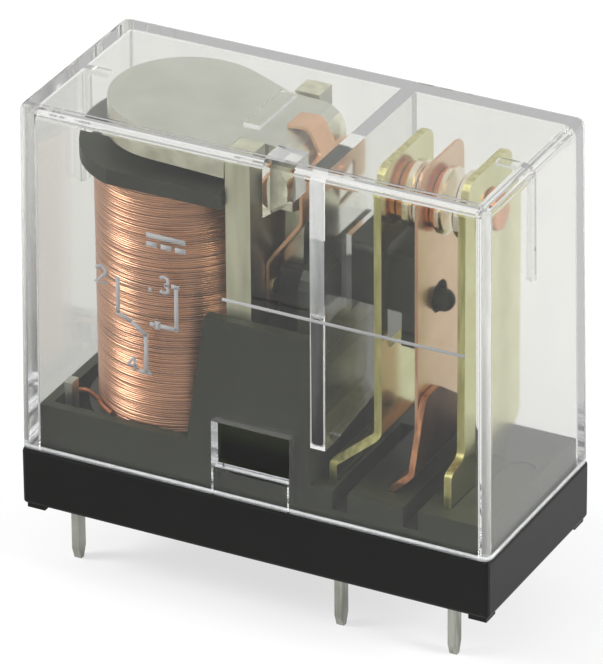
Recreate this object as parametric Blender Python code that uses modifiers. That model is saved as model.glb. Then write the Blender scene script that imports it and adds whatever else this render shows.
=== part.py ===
"""A PCB power relay under a clear clip-on case, at rest with its normally closed contact made.

Metres, +Z up. +X runs from the coil to the contacts and -Y is the printed front. The tips of the
pins stand at Z = 0, and every height below is measured from the board plane, PIN_LENGTH above them.
The pieces line up in chains: along the body from the coil to the last blade, and up the coil from
the base to the case top, so the case takes its length and height from what it covers.
"""

import math

import bmesh
import bpy
from mathutils import Matrix, Vector

# Clearances
FIT_GAP = 0.00005
SPRING_PLAY = 0.00006
BOBBIN_SIDE_GAP = 0.0001

# Case
CASE_WALL = 0.0008
CASE_TOP = 0.0008
CASE_DRAFT = 0.00025
CASE_EDGE = 0.00045
END_ROOM = 0.0008
CONTACT_END_ROOM = 0.00227
TOP_ROOM = 0.00055
WINDOW_WIDTH = 0.00478
WINDOW_HEIGHT = 0.00295
WINDOW_LIFT = 0.00162
PARTITION_THICKNESS = 0.0009
PARTITION_TO_BLADE = 0.00172
PARTITION_OPENING = 0.0072
PARTITION_LIFT = 0.0024
PARTITION_WEB = 0.0039
STOP_RIB_OFFSET = 0.0011
STOP_RIB_LENGTH = 0.00184
STOP_RIB_SLANT = 0.0013
STOP_RIB_DEPTH = 0.0019
STOP_RIB_DROP = 0.003
HOLD_RIB_LENGTH = 0.001
HOLD_RIB_WIDTH = 0.0044
HOLD_RIB_DROP = 0.0003
GUSSET_REACH = 0.0016
GUSSET_HEIGHT = 0.0065
GUSSET_PROUD = 0.0003
GUSSET_THICKNESS = 0.0005
SLIT_WIDTH = 0.00012
SLIT_DEPTH = 0.0003

# Base
FOOT_HEIGHT = 0.0003
FOOT_SIDE = 0.0011
FLANGE_HEIGHT = 0.00353
FLANGE_EDGE = 0.0002
TROUGH_DEPTH = 0.00063
TROUGH_WALL = 0.0006
RIM_HEIGHT = 0.00267
CHEEK_RISE = 0.0020
CHEEK_SLANT = 0.00124
CHEEK_BACKSET = 0.00101
BARRIER_THICKNESS = 0.0008
BARRIER_GAP = 0.00045
DECK_HEIGHT = 0.00177
GROOVE_WIDTH = 0.0009
GROOVE_DEPTH = 0.0012
LATCH_PROUD = 0.00045
LATCH_RAMP = 0.0002
LATCH_OFFSET = 0.00199
LATCH_PLAY = 0.0003
LATCH_FOOT_PLAY = 0.00045
LATCH_TOP_PLAY = 0.00015
POCKET_DEPTH = 0.001
GROOVE_END = 0.003
MARK_RADIUS = 0.0009
MARK_DEPTH = 0.00012
MARK_OFFSET = 0.0009

# Coil and magnet
BOBBIN_WIDTH = 0.0104
FLANGE_BOW = 0.0003
BOBBIN_YOKE_GAP = 0.00005
WINDING_INSET = 0.00045
BARREL_RADIUS = 0.0028
CORE_RADIUS = 0.0022
CORE_SHANK_RADIUS = 0.00145
POLE_RADIUS = 0.0026
POLE_THICKNESS = 0.0005
LOWER_FLANGE_THICKNESS = 0.0012
UPPER_FLANGE_THICKNESS = 0.0009
WINDING_LENGTH = 0.015
POLE_GAP = 0.00007
YOKE_THICKNESS = 0.0015
YOKE_INSET = 0.0005
YOKE_PLAY = 0.000075
YOKE_TO_PIN = 0.000625
EAR_PLAY = 0.0002
YOKE_EAR_HEIGHT = 0.00135
YOKE_BEND = 0.0011
ARMATURE_THICKNESS = 0.00115
ARMATURE_INSET = 0.00015
ARMATURE_SHOULDER = 0.00015
ARMATURE_CENTRE_SHIFT = 0.0005
REST_TILT = math.radians(2.12)
NECK_WIDTH = 0.0060
NECK_DROP = 0.0013
ARM_WIDTH = 0.0030
BEND_RADIUS = 0.0009
HINGE_SPRING_THICKNESS = 0.00018
HINGE_SPRING_WIDTH = 0.0060
HINGE_WINDOW_WIDTH = 0.0036
HINGE_BOW = 0.00205
TAB_WIDTH = 0.0017
TAB_REACH = 0.0001
HINGE_LEAF_FOOT = 0.0017
HINGE_SLOPE_RISE = 0.0028
STAKE_DIAMETER = 0.0010
STAKE_SPACING = 0.0046
STAKE_DROP = 0.0070
STAKE_PROUD = 0.0003

# Card
CARD_SIDE_GAP = 0.000575
CARD_PLATE = 0.00085
CARD_DROP = 0.0030
CARD_RISE = 0.0019
CARD_CORNER = 0.0011
CARD_CHEEK = 0.00065
CARD_BODY = 0.0011
CARD_GRIP = 0.0023
TONGUE_WIDTH = 0.0040
TONGUE_TOP_GAP = 0.00063
TONGUE_DROP = 0.0004
TONGUE_PAST = 0.0018
PAD_DROP = 0.0024
PAD_THICKNESS = 0.0008
SHOULDER_GAP = 0.00008
NUB_DIAMETER = 0.0013
NUB_REACH = 0.0009
PUSH_DROP = 0.00577
PUSH_LIFT = 0.0016

# Contacts and terminals
BLADE_THICKNESS = 0.00045
BLADE_LIFT = 0.0026
BLADE_CORNER = 0.0008
NC_FOOT_DROP = 0.0015
NO_FOOT_DROP = 0.0016
NC_BLADE_OFFSET = 0.00657
NC_BLADE_WIDTH = 0.0060
NO_BLADE_WIDTH = 0.0054
BLADE_TOP_ROOM = 0.0005
WINDOW_PLAY = 0.00025
SPRING_FOOT_LIFT = 0.00145
SPRING_THICKNESS = 0.00018
SPRING_WIDTH = 0.0053
SPRING_HOLE_WIDTH = 0.0019
SPRING_HOLE_PLAY = 0.0001
COMMON_THICKNESS = 0.00035
COMMON_HEIGHT = 0.0053
COMMON_KNEE_LIFT = 0.0012
COMMON_HEAD_WIDTH = 0.0046
COMMON_HEAD_FRONT = 0.0029
COMMON_STAKE_LIFT = 0.0024
COMMON_STAKE_SPACING = 0.0026
COMMON_STAKE_DIAMETER = 0.0009
CONTACT_RADIUS = 0.0016
CONTACT_HEIGHT = 0.0010
MOVING_CONTACT_HEIGHT = 0.00078
CONTACT_DROP = 0.0028
CONTACT_OPENING = 0.00062
RIVET_RADIUS = 0.0007
RIVET_UPSET = 0.00015

# Pins
PIN_LENGTH = 0.0040
PIN_WIDTH = 0.0008
PIN_TIP_WIDTH = 0.0003
PIN_TAPER = 0.0007
TAIL_MARGIN = 0.00015
TAIL_WIDTH = 0.0053
POST_MARGIN = 0.000625
CONTACT_PIN_PITCH = 0.00347
COMMON_TAIL_INSET = 0.0002
COIL_PIN_INSET = 0.00205
COIL_POST_HEIGHT = 0.0043
LEAD_DIAMETER = 0.00025

# Heights above the board plane, up the coil
FLANGE_TOP = FOOT_HEIGHT + FLANGE_HEIGHT
TROUGH_FLOOR = FLANGE_TOP - TROUGH_DEPTH
RIM_TOP = FLANGE_TOP + RIM_HEIGHT
DECK_TOP = FLANGE_TOP + DECK_HEIGHT
CASE_BOTTOM = FLANGE_TOP + FIT_GAP
YOKE_FOOT = TROUGH_FLOOR + FIT_GAP
BOBBIN_BOTTOM = YOKE_FOOT + YOKE_THICKNESS + FIT_GAP
WINDING_BOTTOM = BOBBIN_BOTTOM + LOWER_FLANGE_THICKNESS + FIT_GAP
WINDING_TOP = WINDING_BOTTOM + WINDING_LENGTH
BOBBIN_TOP = WINDING_TOP + FIT_GAP + UPPER_FLANGE_THICKNESS
POLE_FACE = BOBBIN_TOP + FIT_GAP + POLE_THICKNESS
ARMATURE_BOTTOM = POLE_FACE + POLE_GAP
ARMATURE_TOP = ARMATURE_BOTTOM + ARMATURE_THICKNESS
YOKE_TOP = ARMATURE_BOTTOM - FIT_GAP
CASE_CEILING = ARMATURE_TOP + TOP_ROOM
BODY_HEIGHT = CASE_CEILING + CASE_TOP
BLADE_TOP = CASE_CEILING - BLADE_TOP_ROOM
CONTACT_Z = CASE_CEILING - CONTACT_DROP
PUSH_Z = CONTACT_Z - PUSH_DROP
STAKE_Z = YOKE_TOP - STAKE_DROP
BLADE_FOOT = DECK_TOP + BLADE_LIFT
COMMON_TOP = DECK_TOP + COMMON_HEIGHT

# Stations along the body, first from the left face, then with the body centred on X = 0
FLANGE_RADIUS = BOBBIN_WIDTH / 2 + FLANGE_BOW
WINDING_RADIUS = BOBBIN_WIDTH / 2 - WINDING_INSET
BOBBIN_TO_YOKE = BOBBIN_WIDTH / 2 + BOBBIN_YOKE_GAP
COIL_STATION = CASE_WALL + END_ROOM + FLANGE_RADIUS
YOKE_STATION = COIL_STATION + BOBBIN_TO_YOKE
YOKE_FACE_STATION = YOKE_STATION + YOKE_THICKNESS
NC_STATION = YOKE_FACE_STATION + NC_BLADE_OFFSET
SPRING_STATION = NC_STATION + BLADE_THICKNESS + CONTACT_HEIGHT + FIT_GAP + MOVING_CONTACT_HEIGHT
NO_STATION = SPRING_STATION + SPRING_THICKNESS + MOVING_CONTACT_HEIGHT + CONTACT_OPENING + CONTACT_HEIGHT
BODY_LENGTH = NO_STATION + BLADE_THICKNESS + CONTACT_END_ROOM + CASE_WALL
LEFT = -BODY_LENGTH / 2
COIL_X = LEFT + COIL_STATION
YOKE_X = LEFT + YOKE_STATION
YOKE_FACE = LEFT + YOKE_FACE_STATION
NC_X = LEFT + NC_STATION
SPRING_X = LEFT + SPRING_STATION
NO_X = LEFT + NO_STATION
COMMON_X = SPRING_X + SPRING_THICKNESS + FIT_GAP
NO_PIN_X = NO_X + BLADE_THICKNESS / 2
COMMON_PIN_X = NO_PIN_X - CONTACT_PIN_PITCH
NC_PIN_X = COMMON_PIN_X - CONTACT_PIN_PITCH
COIL_PIN_X = LEFT + COIL_PIN_INSET
YOKE_END = COIL_PIN_X + BLADE_THICKNESS / 2 + YOKE_TO_PIN
PARTITION_X = NC_X - PARTITION_TO_BLADE - PARTITION_THICKNESS
HINGE_SPRING_X = YOKE_FACE + FIT_GAP

# The armature and its card are drawn closed, flat on the pole, and turned open by REST_TILT about the yoke's edge
NUB_RISE = (SPRING_X - YOKE_FACE) * math.sin(REST_TILT)
PUSH_TRAVEL = (YOKE_TOP - PUSH_Z) * math.sin(REST_TILT)
CLOSED_PUSH_Z = PUSH_Z + NUB_RISE
ARM_END = CLOSED_PUSH_Z - PUSH_LIFT
ARM_SWING = (YOKE_TOP - ARM_END) * math.sin(REST_TILT)
ARM_X = HINGE_SPRING_X + HINGE_SPRING_THICKNESS + SPRING_PLAY + ARM_SWING
CARD_X = ARM_X + ARMATURE_THICKNESS + CARD_BODY
TONGUE_TOP = CONTACT_Z - CONTACT_RADIUS - TONGUE_TOP_GAP
TONGUE_FOOT = CLOSED_PUSH_Z - TONGUE_DROP
PAD_FOOT = CLOSED_PUSH_Z - PAD_DROP
CARD_FOOT = CLOSED_PUSH_Z - CARD_DROP
BARRIER_TOP = CARD_FOOT - (CARD_X + CARD_PLATE - YOKE_FACE) * math.sin(REST_TILT) - BARRIER_GAP
CHEEK_TOP = BARRIER_TOP + CHEEK_RISE

# Widths across the body
BODY_WIDTH = BOBBIN_WIDTH + 2 * (BOBBIN_SIDE_GAP + CASE_DRAFT + CASE_WALL)
YOKE_WIDTH = BOBBIN_WIDTH - 2 * YOKE_INSET
TROUGH_HALF_WIDTH = YOKE_WIDTH / 2 + YOKE_PLAY
PIN_Y = TROUGH_HALF_WIDTH - POST_MARGIN - PIN_WIDTH / 2
ARMATURE_RADIUS = YOKE_WIDTH / 2 - ARMATURE_INSET
CARD_WIDTH = 2 * (TROUGH_HALF_WIDTH - CARD_SIDE_GAP)
LATCH_X = YOKE_X + LATCH_OFFSET
TAIL_FRONT = -PIN_Y - PIN_WIDTH / 2 - TAIL_MARGIN
NC_TAIL = (TAIL_FRONT, TAIL_FRONT + TAIL_WIDTH)
NO_TAIL = (TAIL_FRONT, TAIL_FRONT + TAIL_WIDTH)
COMMON_TAIL = (TAIL_FRONT + COMMON_TAIL_INSET, -TAIL_FRONT)


def case_half_width(height):
    """The case's inner half width at a height, after its draft."""
    share = (height - CASE_BOTTOM) / (BODY_HEIGHT - CASE_BOTTOM)
    return BODY_WIDTH / 2 - CASE_WALL - CASE_DRAFT * share


PLUG_HALF_WIDTH = case_half_width(CHEEK_TOP) - FIT_GAP
PLUG_HALF_LENGTH = BODY_LENGTH / 2 - CASE_WALL - 2 * FIT_GAP

# One size over the metre keeps the fill of small outlines exact
OUTLINE_SCALE = 1000.0
PLANES = {
    "XY": (0.0, 0.0, 0.0),
    "XZ": (math.pi / 2, 0.0, 0.0),
    "YZ": (math.pi / 2, 0.0, math.pi / 2),
}
FINISHES = {
    "clear": ((0.82, 0.83, 0.81), 0.08, 0.0),
    "black": ((0.02, 0.021, 0.02), 0.45, 0.0),
    "bobbin": ((0.03, 0.03, 0.03), 0.5, 0.0),
    "copper_wire": ((0.55, 0.22, 0.10), 0.35, 0.8),
    "steel": ((0.48, 0.48, 0.42), 0.35, 1.0),
    "core_steel": ((0.40, 0.40, 0.38), 0.4, 1.0),
    "brass": ((0.58, 0.52, 0.24), 0.3, 1.0),
    "spring_copper": ((0.62, 0.42, 0.30), 0.3, 1.0),
    "dark_copper": ((0.20, 0.11, 0.06), 0.4, 1.0),
    "silver": ((0.72, 0.71, 0.68), 0.3, 1.0),
    "tin": ((0.50, 0.50, 0.46), 0.35, 1.0),
}


def clear_scene():
    """Empties the scene and makes the part's two collections."""
    for obj in list(bpy.data.objects):
        bpy.data.objects.remove(obj, do_unlink=True)
    made = {}
    for name in ("pcb_power_relay", "cutters"):
        made[name] = bpy.data.collections.new(name)
        bpy.context.scene.collection.children.link(made[name])
    return made["pcb_power_relay"], made["cutters"]


def finish_material(finish):
    """The Principled material of a finish, made once."""
    found = bpy.data.materials.get(finish)
    if found:
        return found
    colour, roughness, metallic = FINISHES[finish]
    made = bpy.data.materials.new(finish)
    made.use_nodes = True
    shader = made.node_tree.nodes["Principled BSDF"]
    shader.inputs["Base Color"].default_value = (*colour, 1.0)
    shader.inputs["Roughness"].default_value = roughness
    shader.inputs["Metallic"].default_value = metallic
    if finish == "clear":
        shader.inputs["Transmission Weight"].default_value = 1.0
        shader.inputs["IOR"].default_value = 1.58
    return made


def rounded(points, radius, steps=3):
    """The outline with each corner turned into an arc; a point may carry its own radius as a third value."""
    found = []
    for i, point in enumerate(points):
        here = Vector(point[:2])
        size = point[2] if len(point) > 2 else radius
        before = Vector(points[i - 1][:2]) - here
        after = Vector(points[(i + 1) % len(points)][:2]) - here
        if size <= 0.0:
            found.append(here)
            continue
        half = before.angle(after) / 2
        reach = size / math.tan(half)
        centre = here + (before.normalized() + after.normalized()).normalized() * size / math.sin(half)
        start = here + before.normalized() * reach - centre
        end = here + after.normalized() * reach - centre
        turn = math.atan2(start.x * end.y - start.y * end.x, start.dot(end))
        for step in range(steps + 1):
            found.append(centre + Matrix.Rotation(turn * step / steps, 2) @ start)
    return found


def rounded_path(points, radius, steps=4):
    """An open path with arcs at its inner corners."""
    ends = [(*points[0][:2], 0.0), (*points[-1][:2], 0.0)]
    inner = [point if len(point) > 2 else (*point, radius) for point in points[1:-1]]
    return rounded([ends[0], *inner, ends[1]], radius, steps)


def ribbon(path, thickness):
    """The outline of a sheet of even thickness whose middle follows the path."""
    path = [Vector(point[:2]) for point in path]
    sides = ([], [])
    for i, here in enumerate(path):
        ways = []
        if i > 0:
            ways.append((here - path[i - 1]).normalized())
        if i + 1 < len(path):
            ways.append((path[i + 1] - here).normalized())
        way = sum(ways, Vector((0.0, 0.0))).normalized()
        normal = Vector((-way.y, way.x))
        size = thickness / 2 / normal.dot(Vector((-ways[0].y, ways[0].x)))
        sides[0].append(here + normal * size)
        sides[1].append(here - normal * size)
    return sides[0] + sides[1][::-1]


def circle(centre, radius, steps=24):
    """A full circle as an outline."""
    return [
        (
            centre[0] + radius * math.cos(math.tau * i / steps),
            centre[1] + radius * math.sin(math.tau * i / steps),
        )
        for i in range(steps)
    ]


def rectangle(u, v):
    """The corners of a rectangle between two ends each way."""
    return [(u[0], v[0]), (u[1], v[0]), (u[1], v[1]), (u[0], v[1])]


def add_empty(name, place, parent=None):
    """An empty in the part's collection, at a place in its parent's frame."""
    obj = bpy.data.objects.new(name, None)
    obj.empty_display_size = 0.002
    obj.location = place
    obj.parent = parent
    bpy.data.collections["pcb_power_relay"].objects.link(obj)
    return obj


def hang(obj, helper=True):
    """Files an object under the board plane, as a hidden helper or as a piece."""
    for collection in list(obj.users_collection):
        collection.objects.unlink(obj)
    bpy.data.collections["cutters" if helper else "pcb_power_relay"].objects.link(obj)
    obj.parent = bpy.data.objects["board_plane"]
    obj.hide_render = helper
    obj.hide_set(False)
    obj.display_type = "WIRE" if helper else "TEXTURED"
    return obj


def piece(obj, name, finish, pivot=None):
    """Makes a modelled body one of the part's pieces, with its material, on its joint's axis if it moves."""
    hang(obj, helper=False)
    obj.name = name
    obj.data.name = name
    obj.data.materials.clear()
    obj.data.materials.append(finish_material(finish))
    if pivot:
        obj.parent = pivot
        obj.matrix_parent_inverse = Matrix.Translation(-pivot.location)
    return obj


def block(name, x, y, z, edge=0.0):
    """A box between two ends each way, with rounded edges if asked."""
    bpy.ops.mesh.primitive_cube_add(size=1.0)
    obj = bpy.context.object
    obj.name = name
    obj.data.transform(Matrix.Diagonal((x[1] - x[0], y[1] - y[0], z[1] - z[0], 1.0)))
    obj.location = ((x[0] + x[1]) / 2, (y[0] + y[1]) / 2, (z[0] + z[1]) / 2)
    if edge > 0.0:
        bevel = obj.modifiers.new("edges", "BEVEL")
        bevel.width = edge
        bevel.segments = 2
    return hang(obj)


def slab(name, plane, outline, ends, holes=()):
    """A flat outline, with holes, extruded between two ends along the normal of its plane."""
    curve = bpy.data.curves.new(name, "CURVE")
    curve.dimensions = "2D"
    curve.fill_mode = "BOTH"
    curve.extrude = (ends[1] - ends[0]) / 2 * OUTLINE_SCALE
    for ring in (outline, *holes):
        spline = curve.splines.new("POLY")
        spline.points.add(len(ring) - 1)
        for point, place in zip(spline.points, ring):
            point.co = (place[0] * OUTLINE_SCALE, place[1] * OUTLINE_SCALE, 0.0, 1.0)
        spline.use_cyclic_u = True
    source = bpy.data.objects.new(name, curve)
    bpy.context.scene.collection.objects.link(source)
    graph = bpy.context.evaluated_depsgraph_get()
    mesh = bpy.data.meshes.new_from_object(source.evaluated_get(graph))
    bpy.data.objects.remove(source, do_unlink=True)
    bpy.data.curves.remove(curve)
    weld(mesh, 0.0001)
    mesh.transform(Matrix.Scale(1.0 / OUTLINE_SCALE, 4))
    obj = bpy.data.objects.new(name, mesh)
    middle = (ends[0] + ends[1]) / 2
    obj.location = {"XY": (0.0, 0.0, middle), "XZ": (0.0, middle, 0.0), "YZ": (middle, 0.0, 0.0)}[plane]
    obj.rotation_euler = PLANES[plane]
    bpy.data.collections["cutters"].objects.link(obj)
    return hang(obj)


def weld(mesh, distance):
    """Closes a mesh whose caps are loose and turns its faces outwards."""
    work = bmesh.new()
    work.from_mesh(mesh)
    bmesh.ops.remove_doubles(work, verts=work.verts, dist=distance)
    bmesh.ops.recalc_face_normals(work, faces=work.faces)
    work.to_mesh(mesh)
    work.free()


def turned(name, profile, place, along="Z", steps=32):
    """A solid of revolution, or a ring if the profile closes. The profile runs down the outer side."""
    ring = profile[0] == profile[-1]
    points = [(radius, 0.0, height) for radius, height in (profile[:-1] if ring else profile)]
    edges = [(i, i + 1) for i in range(len(points) - 1)]
    if ring:
        edges.append((len(points) - 1, 0))
    mesh = bpy.data.meshes.new(name)
    mesh.from_pydata(points, edges, [])
    obj = bpy.data.objects.new(name, mesh)
    screw = obj.modifiers.new("turn", "SCREW")
    screw.axis = "Z"
    screw.steps = steps
    screw.render_steps = steps
    screw.use_merge_vertices = True
    screw.merge_threshold = 0.000001
    screw.use_smooth_shade = True
    obj.location = place
    obj.rotation_euler = (0.0, {"X": math.pi / 2, "-X": -math.pi / 2, "Z": 0.0}[along], 0.0)
    bpy.data.collections["cutters"].objects.link(obj)
    return hang(obj)


def tube(name, points, diameter):
    """A round wire along a path, closed at its ends."""
    curve = bpy.data.curves.new(name, "CURVE")
    curve.dimensions = "3D"
    curve.bevel_depth = diameter / 2 * OUTLINE_SCALE
    curve.bevel_resolution = 2
    curve.use_fill_caps = True
    spline = curve.splines.new("POLY")
    spline.points.add(len(points) - 1)
    for point, place in zip(spline.points, points):
        point.co = (*(Vector(place) * OUTLINE_SCALE), 1.0)
    source = bpy.data.objects.new(name, curve)
    bpy.context.scene.collection.objects.link(source)
    graph = bpy.context.evaluated_depsgraph_get()
    mesh = bpy.data.meshes.new_from_object(source.evaluated_get(graph))
    bpy.data.objects.remove(source, do_unlink=True)
    bpy.data.curves.remove(curve)
    weld(mesh, 0.0001)
    mesh.transform(Matrix.Scale(1.0 / OUTLINE_SCALE, 4))
    obj = bpy.data.objects.new(name, mesh)
    bpy.data.collections["cutters"].objects.link(obj)
    return hang(obj)


def combine(obj, other, operation):
    """A Boolean of two helpers, kept as a modifier."""
    modifier = obj.modifiers.new(other.name, "BOOLEAN")
    modifier.operation = operation
    modifier.solver = "EXACT"
    modifier.object = other
    return obj


def fuse(obj, *others):
    """Joins bodies into one."""
    for other in others:
        combine(obj, other, "UNION")
    return obj


def cut(obj, *others):
    """Takes cutters away from a body."""
    for other in others:
        combine(obj, other, "DIFFERENCE")
    return obj


def bent_sheet(name, path, thickness, front, holes=(), plan=None):
    """Sheet metal: a bent ribbon seen from the side, trimmed to its outline seen along X and, if given, from above."""
    sides = [point[0] for point in front]
    width = (min(sides) - thickness, max(sides) + thickness)
    sheet = slab(name, "XZ", ribbon(path, thickness), width)
    across = [point[0] for point in path]
    reach = (min(across) - thickness, max(across) + thickness)
    combine(sheet, slab(name + "_front", "YZ", front, reach, holes), "INTERSECT")
    if plan:
        heights = [point[1] for point in path]
        depth = (min(heights) - thickness, max(heights) + thickness)
        combine(sheet, slab(name + "_plan", "XY", plan, depth), "INTERSECT")
    return sheet


def drafted_box(name, lower, upper, z, edge):
    """A box that leans in from its lower half sizes to its upper ones, rounded all over but at its foot."""
    obj = block(name, (-1.0, 1.0), (-1.0, 1.0), z)
    work = bmesh.new()
    work.from_mesh(obj.data)
    for vert in work.verts:
        size = upper if vert.co.z > 0.0 else lower
        vert.co.x *= size[0]
        vert.co.y *= size[1]
    foot = min(vert.co.z for vert in work.verts)
    edges = [item for item in work.edges if max(vert.co.z for vert in item.verts) > foot / 2]
    bmesh.ops.bevel(work, geom=edges, offset=edge, segments=3, profile=0.5, affect="EDGES")
    work.to_mesh(obj.data)
    work.free()
    return obj


def make_case():
    """The clear cover: a drafted shell with its two snap windows, the contact partition and its ribs."""
    lower = (BODY_LENGTH / 2, BODY_WIDTH / 2)
    upper = (lower[0] - CASE_DRAFT, lower[1] - CASE_DRAFT)
    shell = drafted_box("case_shell", lower, upper, (CASE_BOTTOM, BODY_HEIGHT), CASE_EDGE)
    below = CASE_BOTTOM - CASE_WALL
    ends = BODY_LENGTH / 2 - BODY_WIDTH / 2
    foot, ceiling = case_half_width(below), case_half_width(CASE_CEILING)
    hollow = drafted_box(
        "case_hollow", (foot + ends, foot), (ceiling + ends, ceiling), (below, CASE_CEILING), CASE_EDGE / 2
    )
    window_foot = CASE_BOTTOM + WINDOW_LIFT
    window = block(
        "case_windows",
        (LATCH_X - WINDOW_WIDTH / 2, LATCH_X + WINDOW_WIDTH / 2),
        (-BODY_WIDTH, BODY_WIDTH),
        (window_foot, window_foot + WINDOW_HEIGHT),
    )
    cut(shell, hollow, window)
    for i, (sx, sy) in enumerate(((-1, -1), (1, -1), (-1, 1), (1, 1))):
        x = LATCH_X + sx * (WINDOW_WIDTH - SLIT_WIDTH) / 2
        y = sorted((sy * BODY_WIDTH, sy * (BODY_WIDTH / 2 - SLIT_DEPTH)))
        across = (x - SLIT_WIDTH / 2, x + SLIT_WIDTH / 2)
        cut(shell, block(f"case_slit_{i}", across, y, (below, window_foot + SLIT_WIDTH)))
    seat = case_half_width(CASE_CEILING) + CASE_WALL / 2
    into_top = CASE_CEILING + CASE_TOP / 2
    leg, foot = PARTITION_OPENING / 2, DECK_TOP + PARTITION_LIFT
    web = CASE_CEILING - PARTITION_WEB
    arch = [
        (-seat, foot, 0.0),
        (-leg, foot, PARTITION_THICKNESS / 2),
        (-leg, web, 0.0),
        (leg, web, 0.0),
        (leg, foot, PARTITION_THICKNESS / 2),
        (seat, foot, 0.0),
        (seat, into_top, 0.0),
        (-seat, into_top, 0.0),
    ]
    partition = slab(
        "case_partition", "YZ", rounded(arch, 0.0), (PARTITION_X, PARTITION_X + PARTITION_THICKNESS)
    )
    stop_x = YOKE_FACE + STOP_RIB_OFFSET
    stop = [
        (stop_x, CASE_CEILING - STOP_RIB_DROP),
        (stop_x + STOP_RIB_LENGTH, CASE_CEILING - STOP_RIB_DROP + STOP_RIB_SLANT),
        (stop_x + STOP_RIB_LENGTH, into_top),
        (stop_x, into_top),
    ]
    stop_rib = slab("case_stop_rib", "XZ", stop, (-seat, STOP_RIB_DEPTH - seat))
    hold_x = YOKE_X - HOLD_RIB_LENGTH / 3
    hold_rib = block(
        "case_hold_rib",
        (hold_x, hold_x + HOLD_RIB_LENGTH),
        (-HOLD_RIB_WIDTH / 2, HOLD_RIB_WIDTH / 2),
        (CASE_CEILING - HOLD_RIB_DROP, into_top),
    )
    fuse(shell, partition, stop_rib, hold_rib, gusset("case_gusset_coil", -1), gusset("case_gusset_contact", 1))
    return piece(shell, "case", "clear")


def gusset(name, side):
    """A thin rib in the middle of an end wall: a bar under the ceiling and a ridge down the wall."""
    wall = BODY_LENGTH / 2 - CASE_DRAFT - CASE_WALL
    outline = [
        (side * (wall + CASE_WALL / 2), CASE_CEILING + CASE_TOP / 2, 0.0),
        (side * (wall - GUSSET_REACH), CASE_CEILING + CASE_TOP / 2, 0.0),
        (side * (wall - GUSSET_REACH), CASE_CEILING - GUSSET_PROUD, 0.0),
        (side * (wall - GUSSET_PROUD), CASE_CEILING - GUSSET_PROUD, GUSSET_PROUD),
        (side * (wall - GUSSET_PROUD), CASE_CEILING - GUSSET_HEIGHT + GUSSET_PROUD, 0.0),
        (side * (wall + CASE_WALL / 2), CASE_CEILING - GUSSET_HEIGHT, 0.0),
    ]
    return slab(name, "XZ", rounded(outline, 0.0), (-GUSSET_THICKNESS / 2, GUSSET_THICKNESS / 2))


def slot(name, x, y, z):
    """A cutter for what stands in the base, wider by the fit gap each way."""
    return block(name, (x[0] - FIT_GAP, x[1] + FIT_GAP), (y[0] - FIT_GAP, y[1] + FIT_GAP), z)


def latch(name, side):
    """The ramped catch that stands in one of the case's windows."""
    foot = CASE_BOTTOM + WINDOW_LIFT + LATCH_FOOT_PLAY
    top = CASE_BOTTOM + WINDOW_LIFT + WINDOW_HEIGHT - LATCH_TOP_PLAY
    outline = [
        (side * (PLUG_HALF_WIDTH - TROUGH_WALL / 2), foot),
        (side * (PLUG_HALF_WIDTH + LATCH_PROUD), foot),
        (side * (PLUG_HALF_WIDTH + LATCH_PROUD - LATCH_RAMP), top),
        (side * (PLUG_HALF_WIDTH - TROUGH_WALL / 2), top),
    ]
    reach = WINDOW_WIDTH / 2 - LATCH_PLAY
    return slab(name, "YZ", outline, (LATCH_X - reach, LATCH_X + reach))


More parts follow.
